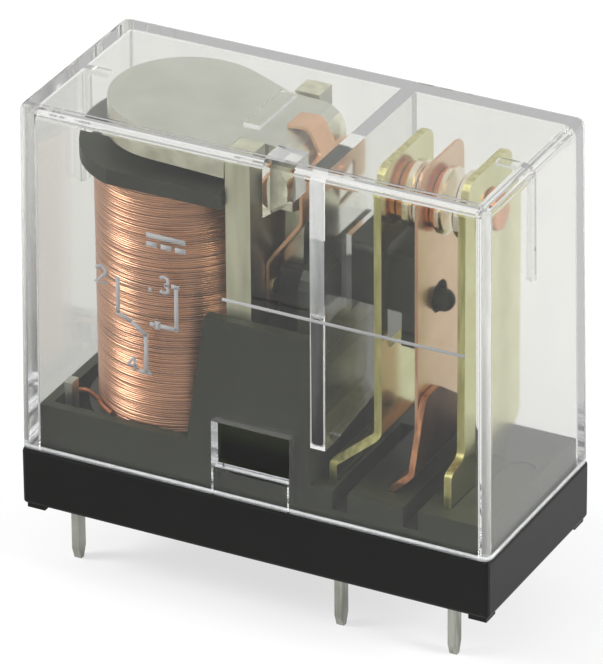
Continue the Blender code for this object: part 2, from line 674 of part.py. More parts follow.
def make_base():
    """The black base: flange on four feet, coil trough, cheeks round the yoke, barrier, contact deck and slots."""
    half_x, half_y = BODY_LENGTH / 2, BODY_WIDTH / 2
    base = block(
        "base_flange", (-half_x, half_x), (-half_y, half_y), (FOOT_HEIGHT, FLANGE_TOP), FLANGE_EDGE
    )
    barrier_end = PARTITION_X - 2 * FIT_GAP
    cheek_x = YOKE_X - CHEEK_BACKSET
    side = [
        (-PLUG_HALF_LENGTH, FOOT_HEIGHT + FLANGE_HEIGHT / 2),
        (PLUG_HALF_LENGTH, FOOT_HEIGHT + FLANGE_HEIGHT / 2),
        (PLUG_HALF_LENGTH, DECK_TOP),
        (barrier_end, DECK_TOP),
        (barrier_end, CHEEK_TOP),
        (cheek_x, CHEEK_TOP),
        (cheek_x - CHEEK_SLANT, RIM_TOP),
        (-PLUG_HALF_LENGTH, RIM_TOP),
    ]
    fuse(base, slab("base_plug", "XZ", side, (-PLUG_HALF_WIDTH, PLUG_HALF_WIDTH)))
    for i, (sx, sy) in enumerate(((-1, -1), (1, -1), (-1, 1), (1, 1))):
        x = sorted((sx * (half_x - FLANGE_EDGE), sx * (half_x - FLANGE_EDGE - FOOT_SIDE)))
        y = sorted((sy * (half_y - FLANGE_EDGE), sy * (half_y - FLANGE_EDGE - FOOT_SIDE)))
        fuse(base, block(f"base_foot_{i}", x, y, (0.0, FOOT_HEIGHT + FLANGE_EDGE)))
    fuse(base, latch("base_latch_front", -1), latch("base_latch_back", 1))
    inner = TROUGH_HALF_WIDTH
    barrier = (barrier_end - BARRIER_THICKNESS, barrier_end)
    trough_end = -PLUG_HALF_LENGTH + TROUGH_WALL
    above = CHEEK_TOP + FLANGE_HEIGHT
    cut(
        base,
        block("base_trough", (trough_end, barrier[0]), (-inner, inner), (TROUGH_FLOOR, above)),
        block(
            "base_barrier_top",
            (barrier[0] - FIT_GAP, barrier[1] + FIT_GAP),
            (-inner, inner),
            (BARRIER_TOP, above),
        ),
    )
    groove_foot = DECK_TOP - GROOVE_DEPTH
    for name, x in (
        ("base_groove_common", COMMON_X + COMMON_THICKNESS + FIT_GAP),
        ("base_groove_nc", NC_PIN_X + BLADE_THICKNESS + FIT_GAP),
    ):
        cut(base, block(name, (x, x + GROOVE_WIDTH), (-BODY_WIDTH, GROOVE_END), (groove_foot, above)))
    below, pocket = -FLANGE_HEIGHT, DECK_TOP - POCKET_DEPTH
    for name, x, y, thickness, tail in (
        ("nc", NC_PIN_X, -PIN_Y, BLADE_THICKNESS, NC_TAIL),
        ("no", NO_PIN_X, -PIN_Y, BLADE_THICKNESS, NO_TAIL),
        ("common", COMMON_PIN_X, PIN_Y, COMMON_THICKNESS, COMMON_TAIL),
    ):
        across = (x - thickness / 2, x + thickness / 2)
        pin = (y - PIN_WIDTH / 2, y + PIN_WIDTH / 2)
        cut(base, slot(f"base_pocket_{name}", across, tail, (pocket, above)))
        cut(base, slot(f"base_slot_{name}", across, pin, (below, above)))
    across = (COIL_PIN_X - BLADE_THICKNESS / 2, COIL_PIN_X + BLADE_THICKNESS / 2)
    for name, y in (("front", -PIN_Y), ("back", PIN_Y)):
        pin = (y - PIN_WIDTH / 2, y + PIN_WIDTH / 2)
        cut(base, slot(f"base_slot_coil_{name}", across, pin, (below, TROUGH_FLOOR + FLANGE_HEIGHT)))
    high = DECK_TOP + MARK_DEPTH
    low = DECK_TOP - MARK_DEPTH
    disc = [(0.0, high), (MARK_RADIUS, high), (MARK_RADIUS, low), (0.0, low)]
    cut(base, turned("base_mark", disc, (NO_X + BLADE_THICKNESS + MARK_OFFSET, MARK_OFFSET, 0.0)))
    return piece(base, "base", "black")


def flange_outline(radius, half_width, reach):
    """A round flange cut straight at its sides and squared off towards the yoke."""
    bow = math.acos(min(1.0, half_width / radius))
    span = math.pi - 2 * bow
    points = [(COIL_X + reach, -half_width), (COIL_X + reach, half_width)]
    for i in range(21):
        angle = math.pi / 2 + bow + span * i / 20
        points.append((COIL_X + radius * math.cos(angle), radius * math.sin(angle)))
    return points


def make_bobbin():
    """The coil's former: a barrel between two flanges, bored for the core."""
    half = BOBBIN_WIDTH / 2
    reach = BOBBIN_TO_YOKE - 2 * FIT_GAP
    top = slab(
        "bobbin_top",
        "XY",
        flange_outline(FLANGE_RADIUS, half, reach),
        (BOBBIN_TOP - UPPER_FLANGE_THICKNESS, BOBBIN_TOP),
    )
    foot_half = min(half - YOKE_INSET, FLANGE_RADIUS - END_ROOM / 4)
    clear_of_bend = max(0.0, YOKE_BEND - YOKE_THICKNESS / 2)
    foot = slab(
        "bobbin_foot",
        "XY",
        flange_outline(FLANGE_RADIUS - END_ROOM / 4, foot_half, reach - clear_of_bend),
        (BOBBIN_BOTTOM, BOBBIN_BOTTOM + LOWER_FLANGE_THICKNESS),
    )
    low, high = BOBBIN_BOTTOM + FIT_GAP, BOBBIN_TOP - FIT_GAP
    profile = [(0.0, high), (BARREL_RADIUS, high), (BARREL_RADIUS, low), (0.0, low)]
    barrel = turned("bobbin_barrel", profile, (COIL_X, 0.0, 0.0))
    radius = CORE_RADIUS + FIT_GAP
    bore = turned(
        "bobbin_bore",
        [(0.0, high + radius), (radius, high + radius), (radius, low - radius), (0.0, low - radius)],
        (COIL_X, 0.0, 0.0),
    )
    return piece(cut(fuse(top, barrel, foot), bore), "bobbin", "bobbin")


def make_winding():
    """The coil of enamelled wire, a little rounded at both ends."""
    inner, ease = BARREL_RADIUS + FIT_GAP, WINDING_RADIUS * 0.04
    profile = [
        (inner, WINDING_TOP),
        (WINDING_RADIUS - ease, WINDING_TOP),
        (WINDING_RADIUS, WINDING_TOP - ease),
        (WINDING_RADIUS, WINDING_BOTTOM + ease),
        (WINDING_RADIUS - ease, WINDING_BOTTOM),
        (inner, WINDING_BOTTOM),
        (inner, WINDING_TOP),
    ]
    return piece(turned("winding", profile, (COIL_X, 0.0, 0.0), steps=48), "winding", "copper_wire")


def make_core():
    """The core: a pole disc on a rod that is staked into the yoke's foot."""
    under_pole = BOBBIN_TOP + FIT_GAP
    foot = YOKE_FOOT + FIT_GAP
    profile = [
        (0.0, POLE_FACE),
        (POLE_RADIUS, POLE_FACE),
        (POLE_RADIUS, under_pole),
        (CORE_RADIUS, under_pole),
        (CORE_RADIUS, BOBBIN_BOTTOM),
        (CORE_SHANK_RADIUS, BOBBIN_BOTTOM),
        (CORE_SHANK_RADIUS, foot),
        (0.0, foot),
    ]
    return piece(turned("core", profile, (COIL_X, 0.0, 0.0)), "core", "core_steel")


def stud(name, x, place, radius, along="X"):
    """A plain round bar along X between two ends, for a rivet, a stake or its hole."""
    low, high = x[0], x[1]
    profile = [(0.0, high), (radius, high), (radius, low), (0.0, low)]
    return turned(name, profile, (0.0, *place), along=along, steps=20)


def make_yoke():
    """The L-shaped yoke: foot plate under the coil, leg beside it, and ears round the armature's neck."""
    half, middle = YOKE_WIDTH / 2, YOKE_FOOT + YOKE_THICKNESS / 2
    ear_top = YOKE_TOP + YOKE_EAR_HEIGHT
    neck = NECK_WIDTH / 2 + EAR_PLAY
    leg = YOKE_X + YOKE_THICKNESS / 2
    path = rounded_path([(YOKE_END, middle), (leg, middle), (leg, ear_top)], YOKE_BEND)
    below = YOKE_FOOT - YOKE_THICKNESS
    front = [
        (-half, below, 0.0),
        (half, below, 0.0),
        (half, ear_top + YOKE_THICKNESS, 0.0),
        (neck, ear_top + YOKE_THICKNESS, 0.0),
        (neck, YOKE_TOP, EAR_PLAY),
        (-neck, YOKE_TOP, EAR_PLAY),
        (-neck, ear_top + YOKE_THICKNESS, 0.0),
        (-half, ear_top + YOKE_THICKNESS, 0.0),
    ]
    yoke = bent_sheet("yoke_sheet", path, YOKE_THICKNESS, rounded(front, 0.0))
    radius = CORE_SHANK_RADIUS + FIT_GAP
    hole = [(0.0, BOBBIN_BOTTOM), (radius, BOBBIN_BOTTOM), (radius, below), (0.0, below)]
    cut(yoke, turned("yoke_core_hole", hole, (COIL_X, 0.0, 0.0)))
    for name, y in (("front", -STAKE_SPACING / 2), ("back", STAKE_SPACING / 2)):
        out = (YOKE_FACE - YOKE_THICKNESS / 2, YOKE_FACE + STAKE_PROUD)
        fuse(yoke, stud(f"yoke_stake_{name}", out, (y, STAKE_Z), STAKE_DIAMETER / 2))
    return piece(yoke, "yoke", "steel")


def turned_open(obj):
    """Turns a body of the armature from its drawn, closed place to its place at rest, about the yoke's edge."""
    edge = Matrix.Translation((YOKE_FACE, 0.0, YOKE_TOP))
    turn = edge @ Matrix.Rotation(REST_TILT, 4, "Y") @ edge.inverted()
    bpy.context.view_layer.update()
    graph = bpy.context.evaluated_depsgraph_get()
    mesh = bpy.data.meshes.new_from_object(obj.evaluated_get(graph))
    place = Matrix.LocRotScale(obj.location, obj.rotation_euler, None)
    mesh.transform(turn @ place)
    made = bpy.data.objects.new(obj.name + "_open", mesh)
    bpy.data.collections["cutters"].objects.link(made)
    return hang(made)


def make_armature(pivot):
    """The rocking armature: a plate with a round end over the pole, a neck between the ears and a hanging arm.

    Behind, the plate tapers straight into the neck; in front it keeps its width up to the yoke's ear.
    """
    middle = ARMATURE_BOTTOM + ARMATURE_THICKNESS / 2
    arm = ARM_X + ARMATURE_THICKNESS / 2
    centre = COIL_X + ARMATURE_CENTRE_SHIFT
    start = centre - ARMATURE_RADIUS - ARMATURE_THICKNESS
    path = rounded_path([(start, middle), (arm, middle), (arm, ARM_END)], BEND_RADIUS)
    over = ARMATURE_TOP + ARMATURE_THICKNESS
    neck, wide, narrow = NECK_WIDTH / 2, ARMATURE_RADIUS + EAR_PLAY, ARM_WIDTH / 2
    waist = ARMATURE_BOTTOM - NECK_DROP
    front = [
        (-wide, over, 0.0),
        (-wide, waist, 0.0),
        (-narrow, waist - (neck - narrow) * 0.7, 0.0003),
        (-narrow, ARM_END - ARMATURE_THICKNESS, 0.0),
        (narrow, ARM_END - ARMATURE_THICKNESS, 0.0),
        (narrow, waist - (neck - narrow) * 0.7, 0.0003),
        (wide, waist, 0.0),
        (wide, over, 0.0),
    ]
    shoulder = YOKE_X - ARMATURE_SHOULDER
    end = ARM_X + 2 * ARMATURE_THICKNESS
    plan = [(shoulder, -ARMATURE_RADIUS), (shoulder, -neck), (end, -neck), (end, neck), (shoulder, neck)]
    reach = math.hypot(shoulder - centre, neck)
    tangent = math.atan2(neck, shoulder - centre) + math.acos(ARMATURE_RADIUS / reach)
    for i in range(37):
        angle = tangent + (1.5 * math.pi - tangent) * i / 36
        plan.append((centre + ARMATURE_RADIUS * math.cos(angle), ARMATURE_RADIUS * math.sin(angle)))
    sheet = bent_sheet("armature_sheet", path, ARMATURE_THICKNESS, rounded(front, 0.0), plan=plan)
    return piece(turned_open(sheet), "armature", "steel", pivot)


def make_hinge_spring():
    """The leaf that holds the armature down: staked on the yoke, bowed out past the arm, its tab on the plate."""
    plate = HINGE_SPRING_X + HINGE_SPRING_THICKNESS / 2
    bow = plate + HINGE_BOW
    lift = HINGE_SPRING_THICKNESS / 2 + FIT_GAP
    tab_x, tab_z = YOKE_FACE + TAB_REACH, ARMATURE_TOP + lift
    path = [
        (plate, STAKE_Z - STAKE_DIAMETER * 1.4),
        (plate, STAKE_Z + HINGE_LEAF_FOOT, 0.0008),
        (bow, STAKE_Z + HINGE_LEAF_FOOT + HINGE_SLOPE_RISE, 0.0008),
        (bow, ARMATURE_BOTTOM - 0.0002, 0.0008),
        (bow - 0.0008, tab_z + 0.0001, 0.0005),
        (tab_x, tab_z),
    ]
    half, tab, window = HINGE_SPRING_WIDTH / 2, TAB_WIDTH / 2, HINGE_WINDOW_WIDTH / 2
    over = tab_z + HINGE_SPRING_WIDTH
    shoulder = ARMATURE_BOTTOM - 0.0004
    front = [
        (-half, path[0][1] - half, 0.0),
        (half, path[0][1] - half, 0.0),
        (half, shoulder, 0.0005),
        (tab, shoulder + 0.0004, 0.0002),
        (tab, over, 0.0),
        (-tab, over, 0.0),
        (-tab, shoulder + 0.0004, 0.0002),
        (-half, shoulder, 0.0005),
    ]
    opening = rounded(rectangle((-window, window), (STAKE_Z + 0.0014, shoulder - 0.0008)), 0.0003)
    radius = STAKE_DIAMETER / 2 + FIT_GAP
    holes = [opening]
    for y in (-STAKE_SPACING / 2, STAKE_SPACING / 2):
        holes.append(circle((y, STAKE_Z), radius))
    sheet = bent_sheet(
        "hinge_sheet", rounded_path(path, 0.0), HINGE_SPRING_THICKNESS, rounded(front, 0.0), holes
    )
    return piece(sheet, "hinge_spring", "spring_copper")


def make_card(pivot):
    """The insulating card: a cup on the arm's end, a wide plate, and a tongue with the nub that works the spring."""
    arm = (ARM_X, ARM_X + ARMATURE_THICKNESS)
    half = ARM_WIDTH / 2 + FIT_GAP + CARD_CHEEK
    lip = ARM_END - CARD_CHEEK
    card = block("card_cup", (arm[0] + 2 * FIT_GAP, CARD_X + FIT_GAP), (-half, half), (lip, ARM_END + CARD_GRIP))
    side, top = CARD_WIDTH / 2, CLOSED_PUSH_Z + CARD_RISE
    wide = [
        (-side, CARD_FOOT, CARD_CORNER / 2),
        (side, CARD_FOOT, CARD_CORNER / 2),
        (side, top, CARD_CORNER),
        (-side, top, CARD_CORNER),
    ]
    fuse(card, slab("card_plate", "YZ", rounded(wide, 0.0), (CARD_X, CARD_X + CARD_PLATE)))
    nub_x = SPRING_X - SHOULDER_GAP + PUSH_TRAVEL
    across = (-TONGUE_WIDTH / 2, TONGUE_WIDTH / 2)
    tongue = rounded(rectangle(across, (TONGUE_FOOT, TONGUE_TOP)), 0.0003)
    end = NC_X + BLADE_THICKNESS + TONGUE_PAST
    fuse(card, slab("card_tongue", "YZ", tongue, (CARD_X + CARD_PLATE / 2, end - PAD_THICKNESS / 2)))
    pad = rounded(rectangle(across, (PAD_FOOT, TONGUE_TOP)), 0.0003)
    fuse(card, slab("card_pad", "YZ", pad, (end - PAD_THICKNESS, end)))
    shoulder = SPRING_HOLE_WIDTH / 2 + SHOULDER_GAP
    fuse(card, stud("card_shoulder", (end - PAD_THICKNESS / 2, nub_x), (0.0, CLOSED_PUSH_Z), shoulder))
    radius, tip = NUB_DIAMETER / 2, nub_x + SHOULDER_GAP + SPRING_THICKNESS + NUB_REACH
    profile = [(0.0, tip)]
    for i in range(1, 6):
        angle = math.pi / 2 * i / 5
        profile.append((radius * math.sin(angle), tip - radius * (1 - math.cos(angle))))
    profile += [(radius, nub_x - CARD_PLATE / 2), (0.0, nub_x - CARD_PLATE / 2)]
    fuse(card, turned("card_nub", profile, (0.0, 0.0, CLOSED_PUSH_Z), along="X", steps=20))
    pocket = block(
        "card_pocket",
        (arm[0] - ARMATURE_THICKNESS, arm[1] + FIT_GAP),
        (-ARM_WIDTH / 2 - FIT_GAP, ARM_WIDTH / 2 + FIT_GAP),
        (ARM_END - FIT_GAP, ARM_END + 2 * CARD_WIDTH),
    )
    return piece(turned_open(cut(card, pocket)), "card", "black", pivot)


def pin_outline(y):
    """The lower end of a terminal seen along X: a flat pin that tapers to a small flat tip, from -Y to +Y."""
    half, tip = PIN_WIDTH / 2, PIN_TIP_WIDTH / 2
    return [
        (y - half, PIN_TAPER - PIN_LENGTH),
        (y - tip, -PIN_LENGTH),
        (y + tip, -PIN_LENGTH),
        (y + half, PIN_TAPER - PIN_LENGTH),
    ]


def terminal_outline(blade, tail, y):
    """A terminal seen along X: its blade's points, the tail that sits in the base, and the pin."""
    seat = DECK_TOP - POCKET_DEPTH + FIT_GAP
    half = PIN_WIDTH / 2
    foot = [(tail[0], seat), (y - half, seat), *pin_outline(y), (y + half, seat), (tail[1], seat)]
    return rounded([*foot, *blade], 0.0)


def make_nc_terminal():
    """The normally closed blade, with the window for the card's tongue and a foot that slants to its pin."""
    middle, half = NC_X + BLADE_THICKNESS / 2, NC_BLADE_WIDTH / 2
    knee = BLADE_FOOT - NC_FOOT_DROP
    path = [
        (middle, BLADE_TOP + BLADE_THICKNESS),
        (middle, BLADE_FOOT, 0.0005),
        (NC_PIN_X, knee, 0.0005),
        (NC_PIN_X, -PIN_LENGTH - BLADE_THICKNESS),
    ]
    blade = [
        (NC_TAIL[1], knee, 0.0003),
        (half, BLADE_FOOT + NC_FOOT_DROP / 3, 0.0005),
        (half, BLADE_TOP, BLADE_CORNER),
        (-half, BLADE_TOP, BLADE_CORNER),
        (-half, BLADE_FOOT, 0.0005),
        (NC_TAIL[0], knee, 0.0003),
    ]
    y = TONGUE_WIDTH / 2 + WINDOW_PLAY
    drop = (NC_X - YOKE_FACE) * math.sin(REST_TILT)
    window = rectangle((-y, y), (PAD_FOOT - drop - WINDOW_PLAY, TONGUE_TOP + WINDOW_PLAY))
    holes = [rounded(window, 0.0004), circle((0.0, CONTACT_Z), RIVET_RADIUS + FIT_GAP)]
    front = terminal_outline(blade, NC_TAIL, -PIN_Y)
    sheet = bent_sheet("nc_sheet", rounded_path(path, 0.0), BLADE_THICKNESS, front, holes)
    return piece(sheet, "nc_terminal", "brass")


def make_no_terminal():
    """The normally open blade, straight down to its pin with a shoulder towards the front."""
    half, knee = NO_BLADE_WIDTH / 2, BLADE_FOOT - NO_FOOT_DROP
    blade = [
        (NO_TAIL[1], knee, 0.0003),
        (half, BLADE_FOOT, 0.0005),
        (half, BLADE_TOP, BLADE_CORNER),
        (-half, BLADE_TOP, BLADE_CORNER),
        (-half, BLADE_FOOT - 0.0002, 0.0005),
        (NO_TAIL[0], BLADE_FOOT - 0.0006, 0.0004),
    ]
    front = terminal_outline(blade, NO_TAIL, -PIN_Y)
    hole = circle((0.0, CONTACT_Z), RIVET_RADIUS + FIT_GAP)
    sheet = slab("no_sheet", "YZ", front, (NO_X, NO_X + BLADE_THICKNESS), [hole])
    return piece(sheet, "no_terminal", "brass")


def make_common_terminal():
    """The common terminal: a low rounded plate behind the moving spring, stepped in to its pin, with two stakes."""
    plate = COMMON_X + COMMON_THICKNESS / 2
    step = DECK_TOP + 4 * FIT_GAP
    path = [
        (plate, COMMON_TOP + COMMON_THICKNESS),
        (plate, DECK_TOP + COMMON_KNEE_LIFT, 0.0003),
        (COMMON_PIN_X, step, 0.0003),
        (COMMON_PIN_X, -PIN_LENGTH - COMMON_THICKNESS),
    ]
    rise, near = COMMON_TOP - step, -COMMON_HEAD_FRONT
    far = near + COMMON_HEAD_WIDTH
    blade = [
        (COMMON_TAIL[1], step + 0.1 * rise, 0.0003),
        (far + 0.2 * COMMON_HEAD_WIDTH, step + 0.35 * rise, 0.0008),
        (far, COMMON_TOP - 0.35 * rise, 0.0006),
        (near + 0.45 * COMMON_HEAD_WIDTH, COMMON_TOP, 0.0010),
        (near + 0.1 * COMMON_HEAD_WIDTH, COMMON_TOP, 0.0006),
        (near, COMMON_TOP - 0.25 * rise, 0.0006),
        (COMMON_TAIL[0], step + 0.1 * rise, 0.0003),
    ]
    front = terminal_outline(blade, COMMON_TAIL, PIN_Y)
    sheet = bent_sheet("common_sheet", rounded_path(path, 0.0), COMMON_THICKNESS, front)
    out = (SPRING_X - SPRING_THICKNESS, COMMON_X + COMMON_THICKNESS / 2)
    stake_z = DECK_TOP + COMMON_STAKE_LIFT
    for name, side in (("front", -1), ("back", 1)):
        place = (side * COMMON_STAKE_SPACING / 2, stake_z)
        fuse(sheet, stud(f"common_stake_{name}", out, place, COMMON_STAKE_DIAMETER / 2))
    return piece(sheet, "common_terminal", "dark_copper")


def make_moving_spring(pivot):
    """The thin leaf that carries the moving contacts, with the hole that the card's nub passes through."""
    half, foot = SPRING_WIDTH / 2, DECK_TOP + SPRING_FOOT_LIFT
    outline = [
        (-half, foot, 0.0002),
        (half, foot, 0.0002),
        (half, BLADE_TOP, BLADE_CORNER),
        (-half, BLADE_TOP, BLADE_CORNER),
    ]
    radius = NUB_DIAMETER / 2 + SPRING_HOLE_PLAY
    across = (-SPRING_HOLE_WIDTH / 2, SPRING_HOLE_WIDTH / 2)
    opening = rectangle(across, (PUSH_Z - radius, PUSH_Z + radius + NUB_RISE))
    holes = [
        rounded(opening, SPRING_HOLE_WIDTH * 0.45),
        circle((0.0, CONTACT_Z), RIVET_RADIUS + FIT_GAP),
    ]
    for side in (-1, 1):
        place = (side * COMMON_STAKE_SPACING / 2, DECK_TOP + COMMON_STAKE_LIFT)
        holes.append(circle(place, COMMON_STAKE_DIAMETER / 2 + FIT_GAP))
    leaf = slab(
        "moving_leaf", "YZ", rounded(outline, 0.0), (SPRING_X, SPRING_X + SPRING_THICKNESS), holes
    )
    return piece(leaf, "moving_spring", "spring_copper", pivot)


def contact_profile(height, back=None):
    """A contact rivet: a silver head on a narrower copper step, and a shank with its upset end behind the sheet."""
    head, step = CONTACT_RADIUS, CONTACT_RADIUS * 0.86
    profile = [(0.0, height), (head * 0.9, height), (head, height * 0.86), (head, height * 0.45)]
    profile += [(step, height * 0.45), (step, FIT_GAP)]
    if back is None:
        return [*profile, (0.0, FIT_GAP)]
    profile += [(RIVET_RADIUS, FIT_GAP), (RIVET_RADIUS, -back)]
    if back > SPRING_THICKNESS:
        behind = -back - FIT_GAP
        upset = RIVET_RADIUS * 1.35
        profile += [(RIVET_RADIUS, behind), (upset, behind), (upset * 0.9, behind - RIVET_UPSET)]
        return [*profile, (0.0, behind - RIVET_UPSET)]
    return [*profile, (0.0, -back)]


def make_contacts(pivot):
    """The fixed contacts riveted in both blades, and the moving pair on the spring."""
    fixed = contact_profile(CONTACT_HEIGHT, BLADE_THICKNESS)
    nc_place = (NC_X + BLADE_THICKNESS, 0.0, CONTACT_Z)
    piece(turned("nc_rivet", fixed, nc_place, along="X"), "nc_contact", "silver")
    piece(turned("no_rivet", fixed, (NO_X, 0.0, CONTACT_Z), along="-X"), "no_contact", "silver")
    riveted = contact_profile(MOVING_CONTACT_HEIGHT, SPRING_THICKNESS)
    near = turned("moving_rivet", riveted, (SPRING_X, 0.0, CONTACT_Z), along="-X")
    piece(near, "moving_contact_nc_side", "silver", pivot)
    place = (SPRING_X + SPRING_THICKNESS, 0.0, CONTACT_Z)
    far = turned("moving_face", contact_profile(MOVING_CONTACT_HEIGHT), place, along="X")
    piece(far, "moving_contact_no_side", "silver", pivot)


def make_coil_ends():
    """The two coil pins standing in the base and the wire from the winding to each."""
    across = (COIL_PIN_X - BLADE_THICKNESS / 2, COIL_PIN_X + BLADE_THICKNESS / 2)
    top = TROUGH_FLOOR + COIL_POST_HEIGHT
    radius = LEAD_DIAMETER / 2
    for name, side in (("front", -1), ("back", 1)):
        y = side * PIN_Y
        outline = [*pin_outline(y), (y + PIN_WIDTH / 2, top), (y - PIN_WIDTH / 2, top)]
        piece(slab(f"pin_{name}", "YZ", outline, across), f"coil_pin_{name}", "tin")
        start = WINDING_RADIUS + FIT_GAP + radius
        low = WINDING_BOTTOM + 3 * radius
        post = Vector((across[1] + FIT_GAP + radius, y - side * PIN_WIDTH * 0.2, top - 5 * radius))
        points = []
        for i in range(5):
            angle = math.pi - math.radians(64 - 5 * i)
            points.append(Vector((COIL_X + start * math.cos(angle), side * start * math.sin(angle), low)))
        leave = points[-1]
        for i in range(1, 7):
            share = i / 6
            bent = leave.lerp(post, share)
            bent.z += math.sin(math.pi * share) * LEAD_DIAMETER
            points.append(bent)
        piece(tube(f"wire_{name}", points, LEAD_DIAMETER), f"coil_lead_{name}", "copper_wire")


def main():
    clear_scene()
    seat = add_empty("board_plane", (0.0, 0.0, PIN_LENGTH))
    hinge = add_empty("armature_hinge", (YOKE_FACE, 0.0, YOKE_TOP), seat)
    flex_x = SPRING_X + SPRING_THICKNESS / 2
    flex = add_empty("moving_contact_flex", (flex_x, 0.0, COMMON_TOP), seat)
    make_case()
    make_base()
    make_bobbin()
    make_winding()
    make_core()
    make_yoke()
    make_armature(hinge)
    make_hinge_spring()
    make_card(hinge)
    make_nc_terminal()
    make_no_terminal()
    make_common_terminal()
    make_moving_spring(flex)
    make_contacts(flex)
    make_coil_ends()
    for obj in bpy.data.collections["pcb_power_relay"].objects:
        if obj.type == "MESH":
            obj.data.set_sharp_from_angle(angle=math.radians(35))
    bpy.context.view_layer.update()


if __name__ == "__main__":
    main()
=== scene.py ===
"""Looks for a board relay with a clear cover, dressed over its measured frame.

Every size is in metres, +Z up, with the tips of the pins on the floor at Z = 0. Each class below holds one
sub-assembly: its sizes as fields, the surfaces worked out from them, and the finishes that dress it.
"""

import logging
import math
from dataclasses import dataclass
from enum import Enum

import bmesh
import bpy
import numpy as np
from mathutils import Matrix, Vector

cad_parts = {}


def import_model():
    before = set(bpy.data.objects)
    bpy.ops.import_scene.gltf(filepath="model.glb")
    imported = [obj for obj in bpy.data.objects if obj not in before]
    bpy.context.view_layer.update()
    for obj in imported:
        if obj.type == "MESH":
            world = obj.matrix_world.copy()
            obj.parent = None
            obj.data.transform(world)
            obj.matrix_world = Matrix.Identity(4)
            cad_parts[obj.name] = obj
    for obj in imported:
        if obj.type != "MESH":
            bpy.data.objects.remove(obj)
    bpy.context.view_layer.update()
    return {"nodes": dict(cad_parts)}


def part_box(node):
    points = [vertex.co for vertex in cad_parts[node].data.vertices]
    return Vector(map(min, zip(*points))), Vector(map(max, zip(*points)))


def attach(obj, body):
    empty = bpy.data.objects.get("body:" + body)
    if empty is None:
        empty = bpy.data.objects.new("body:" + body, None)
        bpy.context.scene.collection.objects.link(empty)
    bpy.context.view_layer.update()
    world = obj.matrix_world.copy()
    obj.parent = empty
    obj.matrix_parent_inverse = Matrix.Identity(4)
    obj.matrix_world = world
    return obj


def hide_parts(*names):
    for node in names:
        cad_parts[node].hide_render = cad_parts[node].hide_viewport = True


LOG = logging.getLogger("board_relay")
IMAGE_HEIGHT_PX = 664
STILL_BODY = "frame"
TO_MILLIMETRES = 1000.0
MERGE_DISTANCE = 0.0000002
BUMP_DEPTH = 0.00001
TIN_LINE = 0.006
TIN_FADE_MM = 0.4

Colour = tuple[float, float, float]
Socket = bpy.types.NodeSocket
Value = Socket | float
WHITE = (1.0, 1.0, 1.0, 1.0)


class Slot(Enum):
    """The record's material slots for new pieces; nothing in the script uses them."""

    COVER = "clear_case"
    WIRE = "enamelled_copper"


class Grain(Enum):
    """How finely a pattern repeats along each axis: evenly, or drawn out along the height."""

    ALONG_Z = (1.0, 1.0, 0.12)
    NONE = (1.0, 1.0, 1.0)


